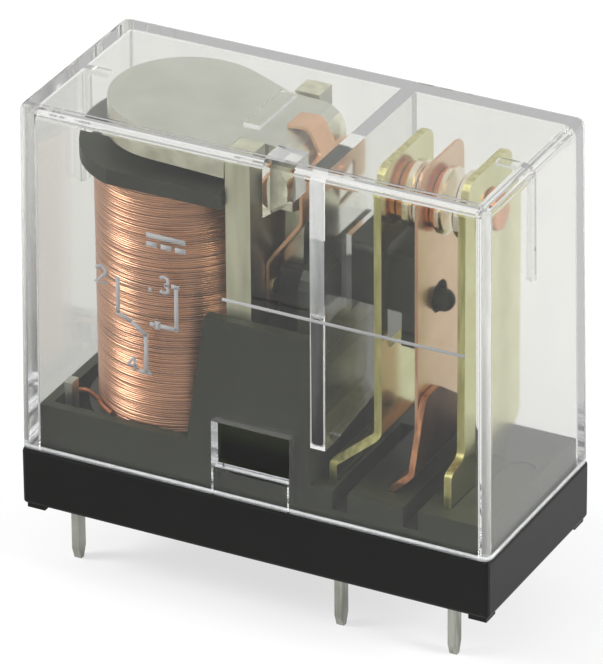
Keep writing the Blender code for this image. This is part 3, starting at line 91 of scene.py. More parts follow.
class NodeSheet:
    """Adds and links shader nodes in one call each, for a material or a world."""

    def __init__(self, owner: bpy.types.Material | bpy.types.World) -> None:
        """Starts an empty node tree.

        Args:
            owner: the material or world that the tree belongs to.
        """
        self.owner = owner
        owner.use_nodes = True
        self.tree = owner.node_tree
        self.tree.nodes.clear()

    def add(self, kind: str, inputs: dict | None = None, **settings: object) -> bpy.types.Node:
        """Adds a node, sets its properties and fills its sockets.

        Args:
            kind: the node's type name.
            inputs: socket name or index to a value, or to a socket or shader node to link from.
            **settings: properties of the node itself.

        Returns:
            The node.
        """
        node = self.tree.nodes.new(kind)
        for key, value in settings.items():
            setattr(node, key, value)
        for key, value in (inputs or {}).items():
            source = value.outputs[0] if isinstance(value, bpy.types.Node) else value
            if isinstance(source, Socket):
                self.tree.links.new(source, node.inputs[key])
            else:
                node.inputs[key].default_value = source
        return node

    def place(self, scale: tuple[float, float, float] = Grain.NONE.value) -> Socket:
        """Gives the object's own coordinates in millimetres, stretched each way.

        Args:
            scale: how finely a pattern repeats along each axis.

        Returns:
            The vector socket.
        """
        where = self.add("ShaderNodeTexCoord").outputs["Object"]
        factors = tuple(TO_MILLIMETRES * part for part in scale)
        return self.add("ShaderNodeMapping", {"Vector": where, "Scale": factors}).outputs["Vector"]

    def part(self, vector: Socket, axis: str) -> Socket:
        """Takes one axis out of a vector."""
        return self.add("ShaderNodeSeparateXYZ", {"Vector": vector}).outputs[axis]

    def maths(self, operation: str, first: Value, second: Value = 0.0) -> Socket:
        """Works out one value from one or two.

        Args:
            operation: the operation's name.
            first: the first value.
            second: the second value, where the operation has one.

        Returns:
            The result's socket.
        """
        return self.add("ShaderNodeMath", {0: first, 1: second}, operation=operation).outputs[0]

    def noise(self, where: Socket, scale: float, detail: float = 3.0) -> Socket:
        """Adds a noise pattern.

        Args:
            where: the vector to read it at.
            scale: its scale.
            detail: how many octaves it has.

        Returns:
            The socket of its value.
        """
        inputs = {"Vector": where, "Scale": scale, "Detail": detail}
        return self.add("ShaderNodeTexNoise", inputs).outputs["Fac"]

    def ramp(self, value: Socket, *stops: tuple[float, Colour]) -> Socket:
        """Maps a value to colours.

        Args:
            value: the value to map.
            *stops: positions and their colours, in rising order.

        Returns:
            The colour socket.
        """
        node = self.add("ShaderNodeValToRGB", {"Fac": value})
        elements = node.color_ramp.elements
        while len(elements) < len(stops):
            elements.new(0.5)
        for element, (position, colour) in zip(elements, stops):
            element.position = position
            element.color = (*colour, 1.0)
        return node.outputs["Color"]

    def remap(
        self,
        value: Socket,
        start: float,
        end: float,
        low: Value = 0.0,
        high: Value = 1.0,
        curve: str = "LINEAR",
    ) -> Socket:
        """Maps a value from one range to another and stops at its ends.

        Args:
            value: the value to map.
            start: the value that becomes low.
            end: the value that becomes high.
            low: the new range's start.
            high: the new range's end.
            curve: the kind of interpolation.

        Returns:
            The mapped socket.
        """
        inputs = {"Value": value, "From Min": start, "From Max": end, "To Min": low, "To Max": high}
        return self.add("ShaderNodeMapRange", inputs, interpolation_type=curve).outputs["Result"]

    def span(self, value: Socket, low: float, high: float) -> Socket:
        """Maps a value from 0..1 to a range."""
        return self.remap(value, 0.0, 1.0, low, high)

    def bump(self, height: Socket, strength: float) -> Socket:
        """Turns a height into a normal.

        Args:
            height: the height pattern.
            strength: how strongly it shows.

        Returns:
            The normal socket.
        """
        inputs = {"Height": height, "Strength": strength, "Distance": BUMP_DEPTH}
        return self.add("ShaderNodeBump", inputs).outputs["Normal"]

    def facing(self, axis: str) -> Socket:
        """Tells the broad faces of a strip from its edges by the object's own normals.

        Args:
            axis: the axis that the broad faces look along, either way.

        Returns:
            A socket that is 1 on broad faces and 0 on edges.
        """
        normal = self.add("ShaderNodeTexCoord").outputs["Normal"]
        return self.remap(self.maths("ABSOLUTE", self.part(normal, axis)), 0.6, 0.8)

    def mix(self, share: Socket, low: Socket, high: Socket) -> Socket:
        """Mixes two colours.

        Args:
            share: 0 for the first colour, 1 for the second.
            low: the first colour's socket.
            high: the second colour's socket.

        Returns:
            The mixed colour's socket.
        """
        return self.add("ShaderNodeMix", {0: share, 6: low, 7: high}, data_type="RGBA").outputs[2]

    def blend(self, share: Socket, low: bpy.types.Node, high: bpy.types.Node) -> bpy.types.Node:
        """Mixes two shaders: share 0 gives the first, 1 the second."""
        return self.add("ShaderNodeMixShader", {0: share, 1: low, 2: high})

    def light_path(self) -> bpy.types.bpy_prop_collection:
        """Gives the outputs that tell what kind of ray meets the surface."""
        return self.add("ShaderNodeLightPath").outputs

    def finish(self, shader: bpy.types.Node) -> bpy.types.Material | bpy.types.World:
        """Links a shader to the output.

        Args:
            shader: the last shader node.

        Returns:
            The finished material or world.
        """
        kind = "World" if isinstance(self.owner, bpy.types.World) else "Material"
        self.add(f"ShaderNodeOutput{kind}", {"Surface": shader})
        return self.owner


def linear(red: int, green: int, blue: int) -> Colour:
    """Turns a colour as seen on a screen into a linear one.

    Args:
        red: 0 to 255.
        green: 0 to 255.
        blue: 0 to 255.

    Returns:
        The linear colour.
    """
    shares = [part / 255 for part in (red, green, blue)]
    return tuple(share / 12.92 if share <= 0.04045 else ((share + 0.055) / 1.055) ** 2.4 for share in shares)


def faded(colour: Colour, share: float) -> Colour:
    """Scales a linear colour."""
    return tuple(part * share for part in colour)


TIN_LIGHT = linear(190, 192, 182)
TIN_DARK = linear(152, 154, 142)


@dataclass(frozen=True)
class Finish:
    """A material by name. Each kind of finish says how it is shaded."""

    name: str

    def shade(self, sheet: NodeSheet) -> bpy.types.Node:
        """Adds the nodes of the finish.

        Args:
            sheet: the sheet to add them to.

        Returns:
            The last shader node.
        """
        raise NotImplementedError

    def build(self) -> bpy.types.Material:
        """Makes the material.

        Returns:
            The material.
        """
        sheet = NodeSheet(bpy.data.materials.new(self.name))
        return sheet.finish(self.shade(sheet))


@dataclass(frozen=True)
class MetalFinish(Finish):
    """Rolled or plated metal: two tones that drift into each other, fine grain and worn gloss."""

    light: Colour
    dark: Colour
    roughness: float = 0.3
    grain: Grain = Grain.NONE
    grain_scale: float = 6.0
    scratches: float = 0.2

    def shade(self, sheet: NodeSheet) -> bpy.types.Node:
        """Adds the nodes: broad clouds and fine grain drive the tone, the grain alone the gloss.

        Args:
            sheet: the sheet to add them to.

        Returns:
            The last shader node.
        """
        clouds = sheet.noise(sheet.place(), 0.35, 2.0)
        grain = sheet.noise(sheet.place(self.grain.value), self.grain_scale, 4.0)
        tone = sheet.maths("ADD", clouds, sheet.span(grain, -0.1, 0.1))
        return sheet.add(
            "ShaderNodeBsdfPrincipled",
            {
                "Base Color": sheet.ramp(tone, (0.32, self.dark), (0.68, self.light)),
                "Metallic": 1.0,
                "Roughness": sheet.span(grain, self.roughness * 0.75, self.roughness * 1.3),
                "Normal": sheet.bump(grain, self.scratches),
            },
        )


@dataclass(frozen=True)
class StripFinish(Finish):
    """Punched strip: rolled broad faces of one tone and edges of another, brighter or darker; the edge tone
    is the sheared edge's own look, with painted highlight where it is brighter than the faces.
    """

    light: Colour
    dark: Colour
    edge_light: Colour
    edge_dark: Colour
    axis: str = "X"
    roughness: float = 0.25
    edge_roughness: float = 0.35
    grain: Grain = Grain.ALONG_Z
    grain_scale: float = 7.0
    scratches: float = 0.12
    shear: Grain = Grain.ALONG_Z
    shear_scale: float = 3.0
    tin_below: float = 0.0

    def shade(self, sheet: NodeSheet) -> bpy.types.Node:
        """Adds the nodes: the normal picks face or edge, and the height picks tin where there is some.

        Args:
            sheet: the sheet to add them to.

        Returns:
            The last shader node.
        """
        clouds = sheet.noise(sheet.place(), 0.4, 2.0)
        grain = sheet.noise(sheet.place(self.grain.value), self.grain_scale, 4.0)
        tone = sheet.maths("ADD", clouds, sheet.span(grain, -0.08, 0.08))
        broad = sheet.facing(self.axis)
        shear = sheet.noise(sheet.place(self.shear.value), self.shear_scale, 2.0)
        # Where the edge tone is brighter than the faces, it is painted highlight for light caught on the
        # rims.
        colour = sheet.mix(
            broad,
            sheet.ramp(shear, (0.35, self.edge_dark), (0.65, self.edge_light)),
            sheet.ramp(tone, (0.3, self.dark), (0.7, self.light)),
        )
        if self.tin_below:
            line = self.tin_below * TO_MILLIMETRES
            bare = sheet.remap(sheet.part(sheet.place(), "Z"), line - TIN_FADE_MM, line + TIN_FADE_MM)
            colour = sheet.mix(bare, sheet.ramp(shear, (0.35, TIN_DARK), (0.65, TIN_LIGHT)), colour)
        return sheet.add(
            "ShaderNodeBsdfPrincipled",
            {
                "Base Color": colour,
                "Metallic": 1.0,
                "Roughness": sheet.span(broad, self.edge_roughness, self.roughness),
                "Normal": sheet.bump(grain, self.scratches),
            },
        )


@dataclass(frozen=True)
class ContactFinish(Finish):
    """A rivet of copper whose cap, measured along X from its face, is silver alloy."""

    face_x: float
    back_x: float
    silver: Colour
    copper: Colour
    roughness: float = 0.16

    def shade(self, sheet: NodeSheet) -> bpy.types.Node:
        """Adds the nodes; the tone turns from silver to copper where the cap ends.

        Args:
            sheet: the sheet to add them to.

        Returns:
            The last shader node.
        """
        where = sheet.place()
        face, back = self.face_x * TO_MILLIMETRES, self.back_x * TO_MILLIMETRES
        depth = sheet.remap(sheet.part(where, "X"), face, back)
        tint = sheet.noise(where, 1.6)
        silver = sheet.ramp(tint, (0.3, faded(self.silver, 0.86)), (0.7, self.silver))
        copper = sheet.ramp(tint, (0.3, faded(self.copper, 0.7)), (0.7, self.copper))
        copper_share = sheet.ramp(depth, (0.86, (0.0, 0.0, 0.0)), (0.99, (1.0, 1.0, 1.0)))
        return sheet.add(
            "ShaderNodeBsdfPrincipled",
            {
                "Base Color": sheet.mix(copper_share, silver, copper),
                "Metallic": 1.0,
                "Roughness": sheet.span(tint, self.roughness * 0.8, self.roughness * 1.2),
                "Normal": sheet.bump(sheet.noise(where, 12.0), 0.08),
            },
        )


@dataclass(frozen=True)
class WireFinish(Finish):
    """Enamelled copper wire: painted shade between the turns, bright on their crowns, each turn its own tone.
    """

    crown: Colour
    groove_shade: Colour
    roughness: float = 0.3

    def shade(self, sheet: NodeSheet) -> bpy.types.Node:
        """Adds the nodes, which read the winding's own crown and tone values.

        Args:
            sheet: the sheet to add them to.

        Returns:
            The last shader node.
        """
        crown, tone = (
            sheet.add("ShaderNodeAttribute", attribute_name=name).outputs["Fac"] for name in ("crown", "tone")
        )
        clouds = sheet.noise(sheet.place((1.0, 1.0, 0.25)), 0.6)
        drift = sheet.maths("ADD", sheet.span(tone, -0.2, 0.2), sheet.span(clouds, -0.28, 0.28))
        height = sheet.maths("ADD", crown, drift)
        # Painted shade: the colour darkens from the crowns into the grooves between the turns.
        middle = tuple((low + 2 * high) / 3 for low, high in zip(self.groove_shade, self.crown))
        return sheet.add(
            "ShaderNodeBsdfPrincipled",
            {
                "Base Color": sheet.ramp(height, (0.1, self.groove_shade), (0.55, middle), (1.0, self.crown)),
                "Metallic": 1.0,
                "Roughness": sheet.span(clouds, self.roughness * 0.8, self.roughness * 1.3),
                "Coat Weight": 1.0,
                "Coat Roughness": 0.34,
                "Coat IOR": 1.8,
            },
        )


@dataclass(frozen=True)
class PlasticFinish(Finish):
    """Moulded plastic: one tone with a faint cloud and a fine skin, and where given a lighter painted haze
    tone above a split line.
    """

    colour: Colour
    roughness: float = 0.5
    specular: float = 0.5
    cloud: float = 0.2
    skin: float = 0.04
    painted_haze_tone: Colour | None = None
    split: float = 0.0078
    inside: float = 0.0057

    def shade(self, sheet: NodeSheet) -> bpy.types.Node:
        """Adds the nodes; the painted haze tone shows above the split and within the inside half width.

        Args:
            sheet: the sheet to add them to.

        Returns:
            The last shader node.
        """
        where = sheet.place()
        clouds = sheet.noise(where, 0.3)
        skin = sheet.noise(where, 14.0)
        dim, bright = 1 - self.cloud, 1 + self.cloud
        colour = sheet.ramp(clouds, (0.3, faded(self.colour, dim)), (0.7, faded(self.colour, bright)))
        # Painted haze: a lighter tone above the line and within the half width, standing in for light that
        # the clear cover scatters over the base.
        if self.painted_haze_tone:
            line, wall, fade = self.split * TO_MILLIMETRES, self.inside * TO_MILLIMETRES, 0.05
            above = sheet.remap(sheet.part(where, "Z"), line - fade, line + fade)
            aside = sheet.maths("ABSOLUTE", sheet.part(where, "Y"))
            within = sheet.remap(aside, wall + fade, wall - fade)
            painted_haze_tone = sheet.ramp(clouds, (0.3, faded(self.painted_haze_tone, dim)), (0.7, self.painted_haze_tone))
            colour = sheet.mix(sheet.maths("MULTIPLY", above, within), colour, painted_haze_tone)
        return sheet.add(
            "ShaderNodeBsdfPrincipled",
            {
                "Base Color": colour,
                "Roughness": sheet.span(skin, self.roughness * 0.85, self.roughness * 1.2),
                "Specular IOR Level": self.specular,
                "Normal": sheet.bump(skin, self.skin),
            },
        )


@dataclass(frozen=True)
class ClearFinish(Finish):
    """Clear moulded plastic. Light that stays caught inside the wall ends in a painted glow: a pale emission
    that stands in for the light along its edges.
    """

    colour: Colour
    # The colour of the painted glow that caught rays end in.
    edge: Colour
    roughness: float = 0.05
    ior: float = 1.5
    caught_after: float = 7.0
    shadow: float = 0.91

    def shade(self, sheet: NodeSheet) -> bpy.types.Node:
        """Adds the nodes: glass, a painted glow for rays caught too long, and a thin shadow.

        Args:
            sheet: the sheet to add them to.

        Returns:
            The last shader node.
        """
        skin = sheet.noise(sheet.place(), 0.8, 2.0)
        glass = sheet.add(
            "ShaderNodeBsdfPrincipled",
            {
                "Base Color": (*self.colour, 1.0),
                "Roughness": sheet.span(skin, self.roughness * 0.6, self.roughness * 1.4),
                "IOR": self.ior,
                "Transmission Weight": 1.0,
            },
        )
        path = sheet.light_path()
        glow = sheet.add("ShaderNodeEmission", {"Color": (*self.edge, 1.0), "Strength": 1.0})
        caught = sheet.maths("GREATER_THAN", path["Ray Depth"], self.caught_after)
        passing = sheet.add("ShaderNodeBsdfTransparent", {"Color": (*[self.shadow] * 3, 1.0)})
        return sheet.blend(path["Is Shadow Ray"], sheet.blend(caught, glass, glow), passing)


@dataclass(frozen=True)
class PaintedLightFinish(Finish):
    """Painted light and shade inside the clear cover: a sheet that is partly see-through and partly a flat
    tone lit by the lamps, pale for painted highlight and glow, dark for painted shade.
    """

    colour: Colour
    pale: float

    def shade(self, sheet: NodeSheet) -> bpy.types.Node:
        """Adds the nodes; fine noise makes the painted light uneven.

        Args:
            sheet: the sheet to add them to.

        Returns:
            The last shader node.
        """
        pale = sheet.add("ShaderNodeBsdfDiffuse", {"Color": (*self.colour, 1.0)})
        clear = sheet.add("ShaderNodeBsdfTransparent", {"Color": WHITE})
        cloud = sheet.noise(sheet.place(Grain.ALONG_Z.value), 2.5)
        return sheet.blend(sheet.span(cloud, self.pale * 0.6, self.pale * 1.3), clear, pale)


# The second colour is a painted glow for light caught in the cover's walls.
CLEAR = ClearFinish("clear_case", (0.876, 0.879, 0.853), (0.5, 0.5, 0.505))
# The base's second tone is painted haze: a lighter olive above the flange where the base is seen through the
# clear cover.
BLACK = PlasticFinish("black_base", linear(11, 13, 10), 0.42, 0.28, painted_haze_tone=linear(37, 41, 26))
DARK = PlasticFinish("card_plastic", linear(34, 37, 25), 0.45, 0.36)
PRINT = PlasticFinish("pale_print", linear(152, 152, 152), 0.7, 0.2, 0.04)
# Painted glow: a pale sheet where the partition's edge shows in the front wall above the long line.
PARTITION_GLOW = PaintedLightFinish("partition_painted_glow", linear(196, 198, 198), 0.5)
# Painted shade: a dark sheet on the partition's edge below the long line.
PARTITION_SHADE = PaintedLightFinish("partition_painted_shade", linear(78, 78, 77), 1.05)
# Painted highlight: a pale outline round the lower part of the partition's edge.
PARTITION_HIGHLIGHT = PaintedLightFinish("partition_painted_highlight", linear(196, 197, 197), 0.8)
# Painted highlight: pale sheets in the cover's upright corners.
CORNER_GLOW = PaintedLightFinish("corner_painted_glow", linear(196, 196, 194), 0.85)
# Painted highlight: a pale line along the cover's foot.
RIM_HIGHLIGHT = PaintedLightFinish("rim_painted_highlight", linear(212, 213, 216), 0.7)
# The armature's and yoke's edges are painted brighter than their faces: painted highlight on the rims.
ARMATURE_PLATE = StripFinish(
    "armature_steel",
    linear(204, 205, 195), linear(190, 191, 180), linear(240, 238, 218), linear(206, 204, 182),
    axis="Z", roughness=0.38, edge_roughness=0.25,
    grain=Grain.NONE, grain_scale=5.0, shear=Grain.NONE, shear_scale=0.7,
)
YOKE_PLATE = StripFinish(
    "yoke_steel",
    linear(182, 182, 168), linear(152, 152, 140), linear(222, 222, 196), linear(196, 196, 170),
    roughness=0.35, grain=Grain.NONE, grain_scale=5.0, shear_scale=1.2,
)
CORE_STEEL = MetalFinish("core_steel", linear(180, 180, 175), linear(150, 150, 145), 0.4)
BRASS = StripFinish(
    "blade_brass",
    linear(220, 219, 176), linear(206, 204, 154), linear(216, 211, 148), linear(176, 170, 108),
    roughness=0.16, edge_roughness=0.3, tin_below=TIN_LINE,
)
SPRING_COPPER = StripFinish(
    "spring_copper",
    linear(226, 198, 168), linear(214, 183, 153), linear(230, 184, 152), linear(200, 152, 122),
    roughness=0.28, edge_roughness=0.3,
)
HINGE_COPPER = MetalFinish("hinge_copper", linear(232, 188, 150), linear(210, 160, 122))
# The common terminal's broad faces are painted dark brown: a painted reflection of the black base; its bright
# edges are the copper's own tone.
COMMON_COPPER_PAINTED_DARK = StripFinish(
    "common_copper",
    linear(112, 78, 52), linear(74, 50, 36), linear(214, 158, 120), linear(150, 98, 70),
    roughness=0.4, edge_roughness=0.25, tin_below=TIN_LINE,
)
WIRE = MetalFinish("lead_copper", linear(215, 145, 105), linear(165, 100, 65), 0.35)
# The second colour is painted shade in the grooves between the turns.
TURNS = WireFinish("enamelled_copper", linear(202, 140, 98), linear(66, 41, 27))
TIN = MetalFinish("tinned_pin", linear(198, 199, 189), linear(160, 161, 151), 0.35, Grain.ALONG_Z)
CONTACT_SILVER = linear(242, 232, 212)
CONTACT_COPPER = linear(228, 152, 92)
NODE_FINISHES = {
    "base": BLACK,
    "bobbin": DARK,
    "card": DARK,
    "coil_lead_front": WIRE,
    "coil_lead_back": WIRE,
    "core": CORE_STEEL,
    "yoke": YOKE_PLATE,
    "armature": ARMATURE_PLATE,
    "hinge_spring": HINGE_COPPER,
    "nc_terminal": BRASS,
    "no_terminal": BRASS,
    "moving_spring": SPRING_COPPER,
    "common_terminal": COMMON_COPPER_PAINTED_DARK,
    "coil_pin_front": TIN,
    "coil_pin_back": TIN,
}


def in_scene(name: str, data: bpy.types.ID) -> bpy.types.Object:
    """Makes an object and puts it in the scene, at the origin.

    Args:
        name: the object's name.
        data: its mesh, camera or lamp.

    Returns:
        The object.
    """
    found = bpy.data.objects.new(name, data)
    bpy.context.scene.collection.objects.link(found)
    return found


def point_outwards(mesh: bpy.types.Mesh) -> None:
    """Turns every face of a closed mesh outwards.

    Args:
        mesh: the mesh.
    """
    work = bmesh.new()
    work.from_mesh(mesh)
    bmesh.ops.recalc_face_normals(work, faces=work.faces)
    work.to_mesh(mesh)
    work.free()


def array_piece(name: str, points: np.ndarray, faces: np.ndarray) -> bpy.types.Object:
    """Puts arrays of points and four-cornered faces into a new object.

    Args:
        name: the piece's name.
        points: count by three, in metres.
        faces: count by four, indices of points.

    Returns:
        The object, at the origin.
    """
    mesh = bpy.data.meshes.new(name)
    mesh.vertices.add(len(points))
    mesh.vertices.foreach_set("co", points.astype(np.float32).ravel())
    mesh.loops.add(faces.size)
    mesh.loops.foreach_set("vertex_index", faces.astype(np.int32).ravel())
    mesh.polygons.add(len(faces))
    mesh.polygons.foreach_set("loop_start", np.arange(0, faces.size, 4, dtype=np.int32))
    mesh.update(calc_edges=True)
    mesh.validate()
    return in_scene(name, mesh)


def grid_piece(name: str, points: np.ndarray) -> bpy.types.Object:
    """Makes a closed ring from a grid of points: each cell of four neighbours is one face.

    Args:
        name: the piece's name.
        points: rows by columns by three, in metres. The last row joins the first, and the last column too.

    Returns:
        The object, at the origin.
    """
    rows, columns = points.shape[:2]
    index = np.arange(rows * columns).reshape(rows, columns)
    index = np.concatenate([index, index[:, :1]], axis=1)
    index = np.concatenate([index, index[:1]], axis=0)
    corners = (index[:-1, :-1], index[:-1, 1:], index[1:, 1:], index[1:, :-1])
    return array_piece(name, points.reshape(-1, 3), np.stack(corners, axis=-1).reshape(-1, 4))


def tubes_piece(name: str, runs: list[np.ndarray]) -> bpy.types.Object:
    """Makes one piece of several closed tubes, each with its two ends capped.

    Args:
        name: the piece's name.
        runs: for each tube, its sections by four corners by three, in metres.

    Returns:
        The object, at the origin.
    """
    points, faces, start = [], [], 0
    for run in runs:
        index = np.arange(start, start + len(run) * 4).reshape(-1, 4)
        around = np.concatenate([index, index[:, :1]], axis=1)
        corners = (around[:-1, :-1], around[1:, :-1], around[1:, 1:], around[:-1, 1:])
        points.append(run.reshape(-1, 3))
        faces += [np.stack(corners, axis=-1).reshape(-1, 4), index[:1], index[-1:, ::-1]]
        start += index.size
    piece = array_piece(name, np.concatenate(points), np.concatenate(faces))
    point_outwards(piece.data)
    return piece


def ring_piece(
    name: str, outer: np.ndarray, inner: np.ndarray, axes: str, ends: tuple[float, float]
) -> bpy.types.Object:
    """Makes a flat ring between two closed paths of as many points, pushed through along one axis.

    Four loops run round the ring: outer at the near end, outer at the far end, inner at the far end and
    inner at the near end.

    Args:
        name: the piece's name.
        outer: the outer path, count by two.
        inner: the inner path, count by two.
        axes: the path's two axes and then the axis that it is pushed along, such as "XYZ".
        ends: the near end and the far end along that axis.

    Returns:
        The object, at the origin.
    """
    near, far = ends
    loops = [
        np.column_stack([path, np.full(len(path), level)])
        for path, level in ((outer, near), (outer, far), (inner, far), (inner, near))
    ]
    order = [axes.index(axis) for axis in "XYZ"]
    piece = grid_piece(name, np.stack(loops)[..., order])
    point_outwards(piece.data)
    return piece


def rounded_path(half_size: tuple[float, float], corner: float, inset: float, steps: int) -> np.ndarray:
    """Gives a rounded rectangle about the origin, drawn inwards by an inset.

    A point is a corner's centre plus the corner radius less the inset, times the cosine and sine of an angle
    that runs through a quarter turn.

    Args:
        half_size: half the length and half the width.
        corner: the corner radius.
        inset: how far the path is drawn inwards.
        steps: points at each corner.

    Returns:
        The path, count by two.
    """
    quarter = np.linspace(0, np.pi / 2, steps)
    angle = np.concatenate([quarter + turn * np.pi / 2 for turn in range(4)])
    signs = np.array([(1, 1), (-1, 1), (-1, -1), (1, -1)], dtype=float)
    centre = np.repeat(signs, steps, axis=0) * (np.array(half_size) - corner)
    return centre + (corner - inset) * np.stack([np.cos(angle), np.sin(angle)], axis=-1)


def rectangle(left: float, right: float, low: float, high: float) -> np.ndarray:
    """Gives a rectangle's four corners in turn, as four by two."""
    return np.array([(left, low), (right, low), (right, high), (left, high)])


def settle(piece: bpy.types.Object, finish: Finish) -> None:
    """Gives a new piece its finish and body, and reports it.

    Args:
        piece: the new piece.
        finish: its finish.
    """
    material = finish.build()
    piece.data.materials.clear()
    piece.data.materials.append(material)
    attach(piece, STILL_BODY)
    LOG.info("%s: %d faces, %s, on %s", piece.name, len(piece.data.polygons), material.name, STILL_BODY)


def wear(node: bpy.types.Object, material: bpy.types.Material) -> None:
    """Gives a carried-over node its material and reports it.

    Args:
        node: the frame's node.
        material: its new material.
    """
    node.data.materials.clear()
    node.data.materials.append(material)
    LOG.info("%s: %s", node.name, material.name)


def dress_nodes(nodes: dict[str, bpy.types.Object]) -> None:
    """Gives every carried-over node its finish; nodes of one finish share its material.

    Args:
        nodes: the frame's nodes by name.
    """
    made: dict[str, bpy.types.Material] = {}
    for name, finish in NODE_FINISHES.items():
        if finish.name not in made:
            made[finish.name] = finish.build()
        wear(nodes[name], made[finish.name])


@dataclass(frozen=True)
class ContactSet:
    """The four contact rivets, each with a silver cap on copper."""

    cap: float = 0.00055
    moving_cap: float = 0.00042

    def dress(self, nodes: dict[str, bpy.types.Object]) -> None:
        """Gives each rivet its finish, measured from its own face.

        Args:
            nodes: the frame's nodes by name.
        """
        for name, faces_right, cap in (
            ("nc_contact", True, self.cap),
            ("moving_contact_nc_side", False, self.moving_cap),
            ("moving_contact_no_side", True, self.moving_cap),
            ("no_contact", False, self.cap),
        ):
            low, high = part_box(name)
            face, back = (high[0], high[0] - cap) if faces_right else (low[0], low[0] + cap)
            finish = ContactFinish(f"{name}_metal", face, back, CONTACT_SILVER, CONTACT_COPPER)
            wear(nodes[name], finish.build())


@dataclass(frozen=True)
class CoverShape:
    """The outer sizes of the frame's cover, whose walls lean inwards by the draft towards its top."""

    half_length: float = 0.0144
    half_width: float = 0.00635
    foot: float = 0.00788
    top: float = 0.02912
    draft: float = 0.00025
    corner: float = 0.00045


COVER = CoverShape()


@dataclass(frozen=True)
class CoilTurns:
    """The winding's outer turns, wound in the room of the frame's smooth ring."""

    pitch: float = 0.000125
    rows_per_turn: int = 5
    columns: int = 120
    seed: int = 7
    unevenness: float = 0.000028
    waviness: float = 0.00003
    ease: float = 0.00012
    bore_share: float = 0.6

    def build(self) -> None:
        """Winds the turns.

        The height z runs evenly up the coil. The radius is the ring's radius less a sag that repeats with
        each turn, sag = wire radius times (1 - the root of (1 - u squared)), where u runs from -1 to 1
        across the turn, less an unevenness drawn once for each turn. Each turn's height also waves round
        the coil. The grid closes over the ring's top, bore and foot.
        """
        low, high = (np.array(corner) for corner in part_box("winding"))
        centre = (low + high) / 2
        radius = (high[1] - low[1]) / 2
        turns = int((high[2] - low[2] - 2 * self.ease) / self.pitch)
        steps = turns * self.rows_per_turn + 1
        share = np.linspace(0.0, turns, steps)
        turn = np.minimum(share.astype(int), turns - 1)
        across = np.clip(2 * (share - turn) - 1, -1, 1)
        crown = np.sqrt(1 - across**2)
        draw = np.random.default_rng(self.seed)
        uneven = draw.uniform(0, self.unevenness, turns)
        tone = draw.uniform(0, 1, turns)
        phase = draw.uniform(0, 2 * np.pi, turns)
        waves = draw.integers(1, 4, turns)
        angle = np.linspace(0, 2 * np.pi, self.columns, endpoint=False)
        sway = crown[:, None] * self.waviness * np.sin(waves[turn][:, None] * angle + phase[turn][:, None])
        heights = np.linspace(low[2] + self.ease, high[2] - self.ease, steps)
        radii = radius - self.pitch / 2 * (1 - crown) - uneven[turn]
        bore, rim = radius * self.bore_share, radius - 2 * self.ease
        ring_r = np.concatenate([[bore, rim], radii, [rim, bore]])[:, None]
        ring_z = np.concatenate([[low[2]] * 2, heights, [high[2]] * 2])[:, None]
        ring_z = ring_z + np.pad(sway, ((2, 2), (0, 0)))
        spots = [centre[0] + ring_r * np.cos(angle), centre[1] + ring_r * np.sin(angle), ring_z]
        piece = grid_piece("winding_turns", np.stack(spots, axis=-1))
        for name, values in (("crown", crown), ("tone", tone[turn])):
            layer = piece.data.attributes.new(name, "FLOAT", "POINT")
            layer.data.foreach_set("value", np.repeat(np.pad(values, 2), self.columns).astype(np.float32))
        piece.data.shade_smooth()
        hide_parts("winding")
        settle(piece, TURNS)


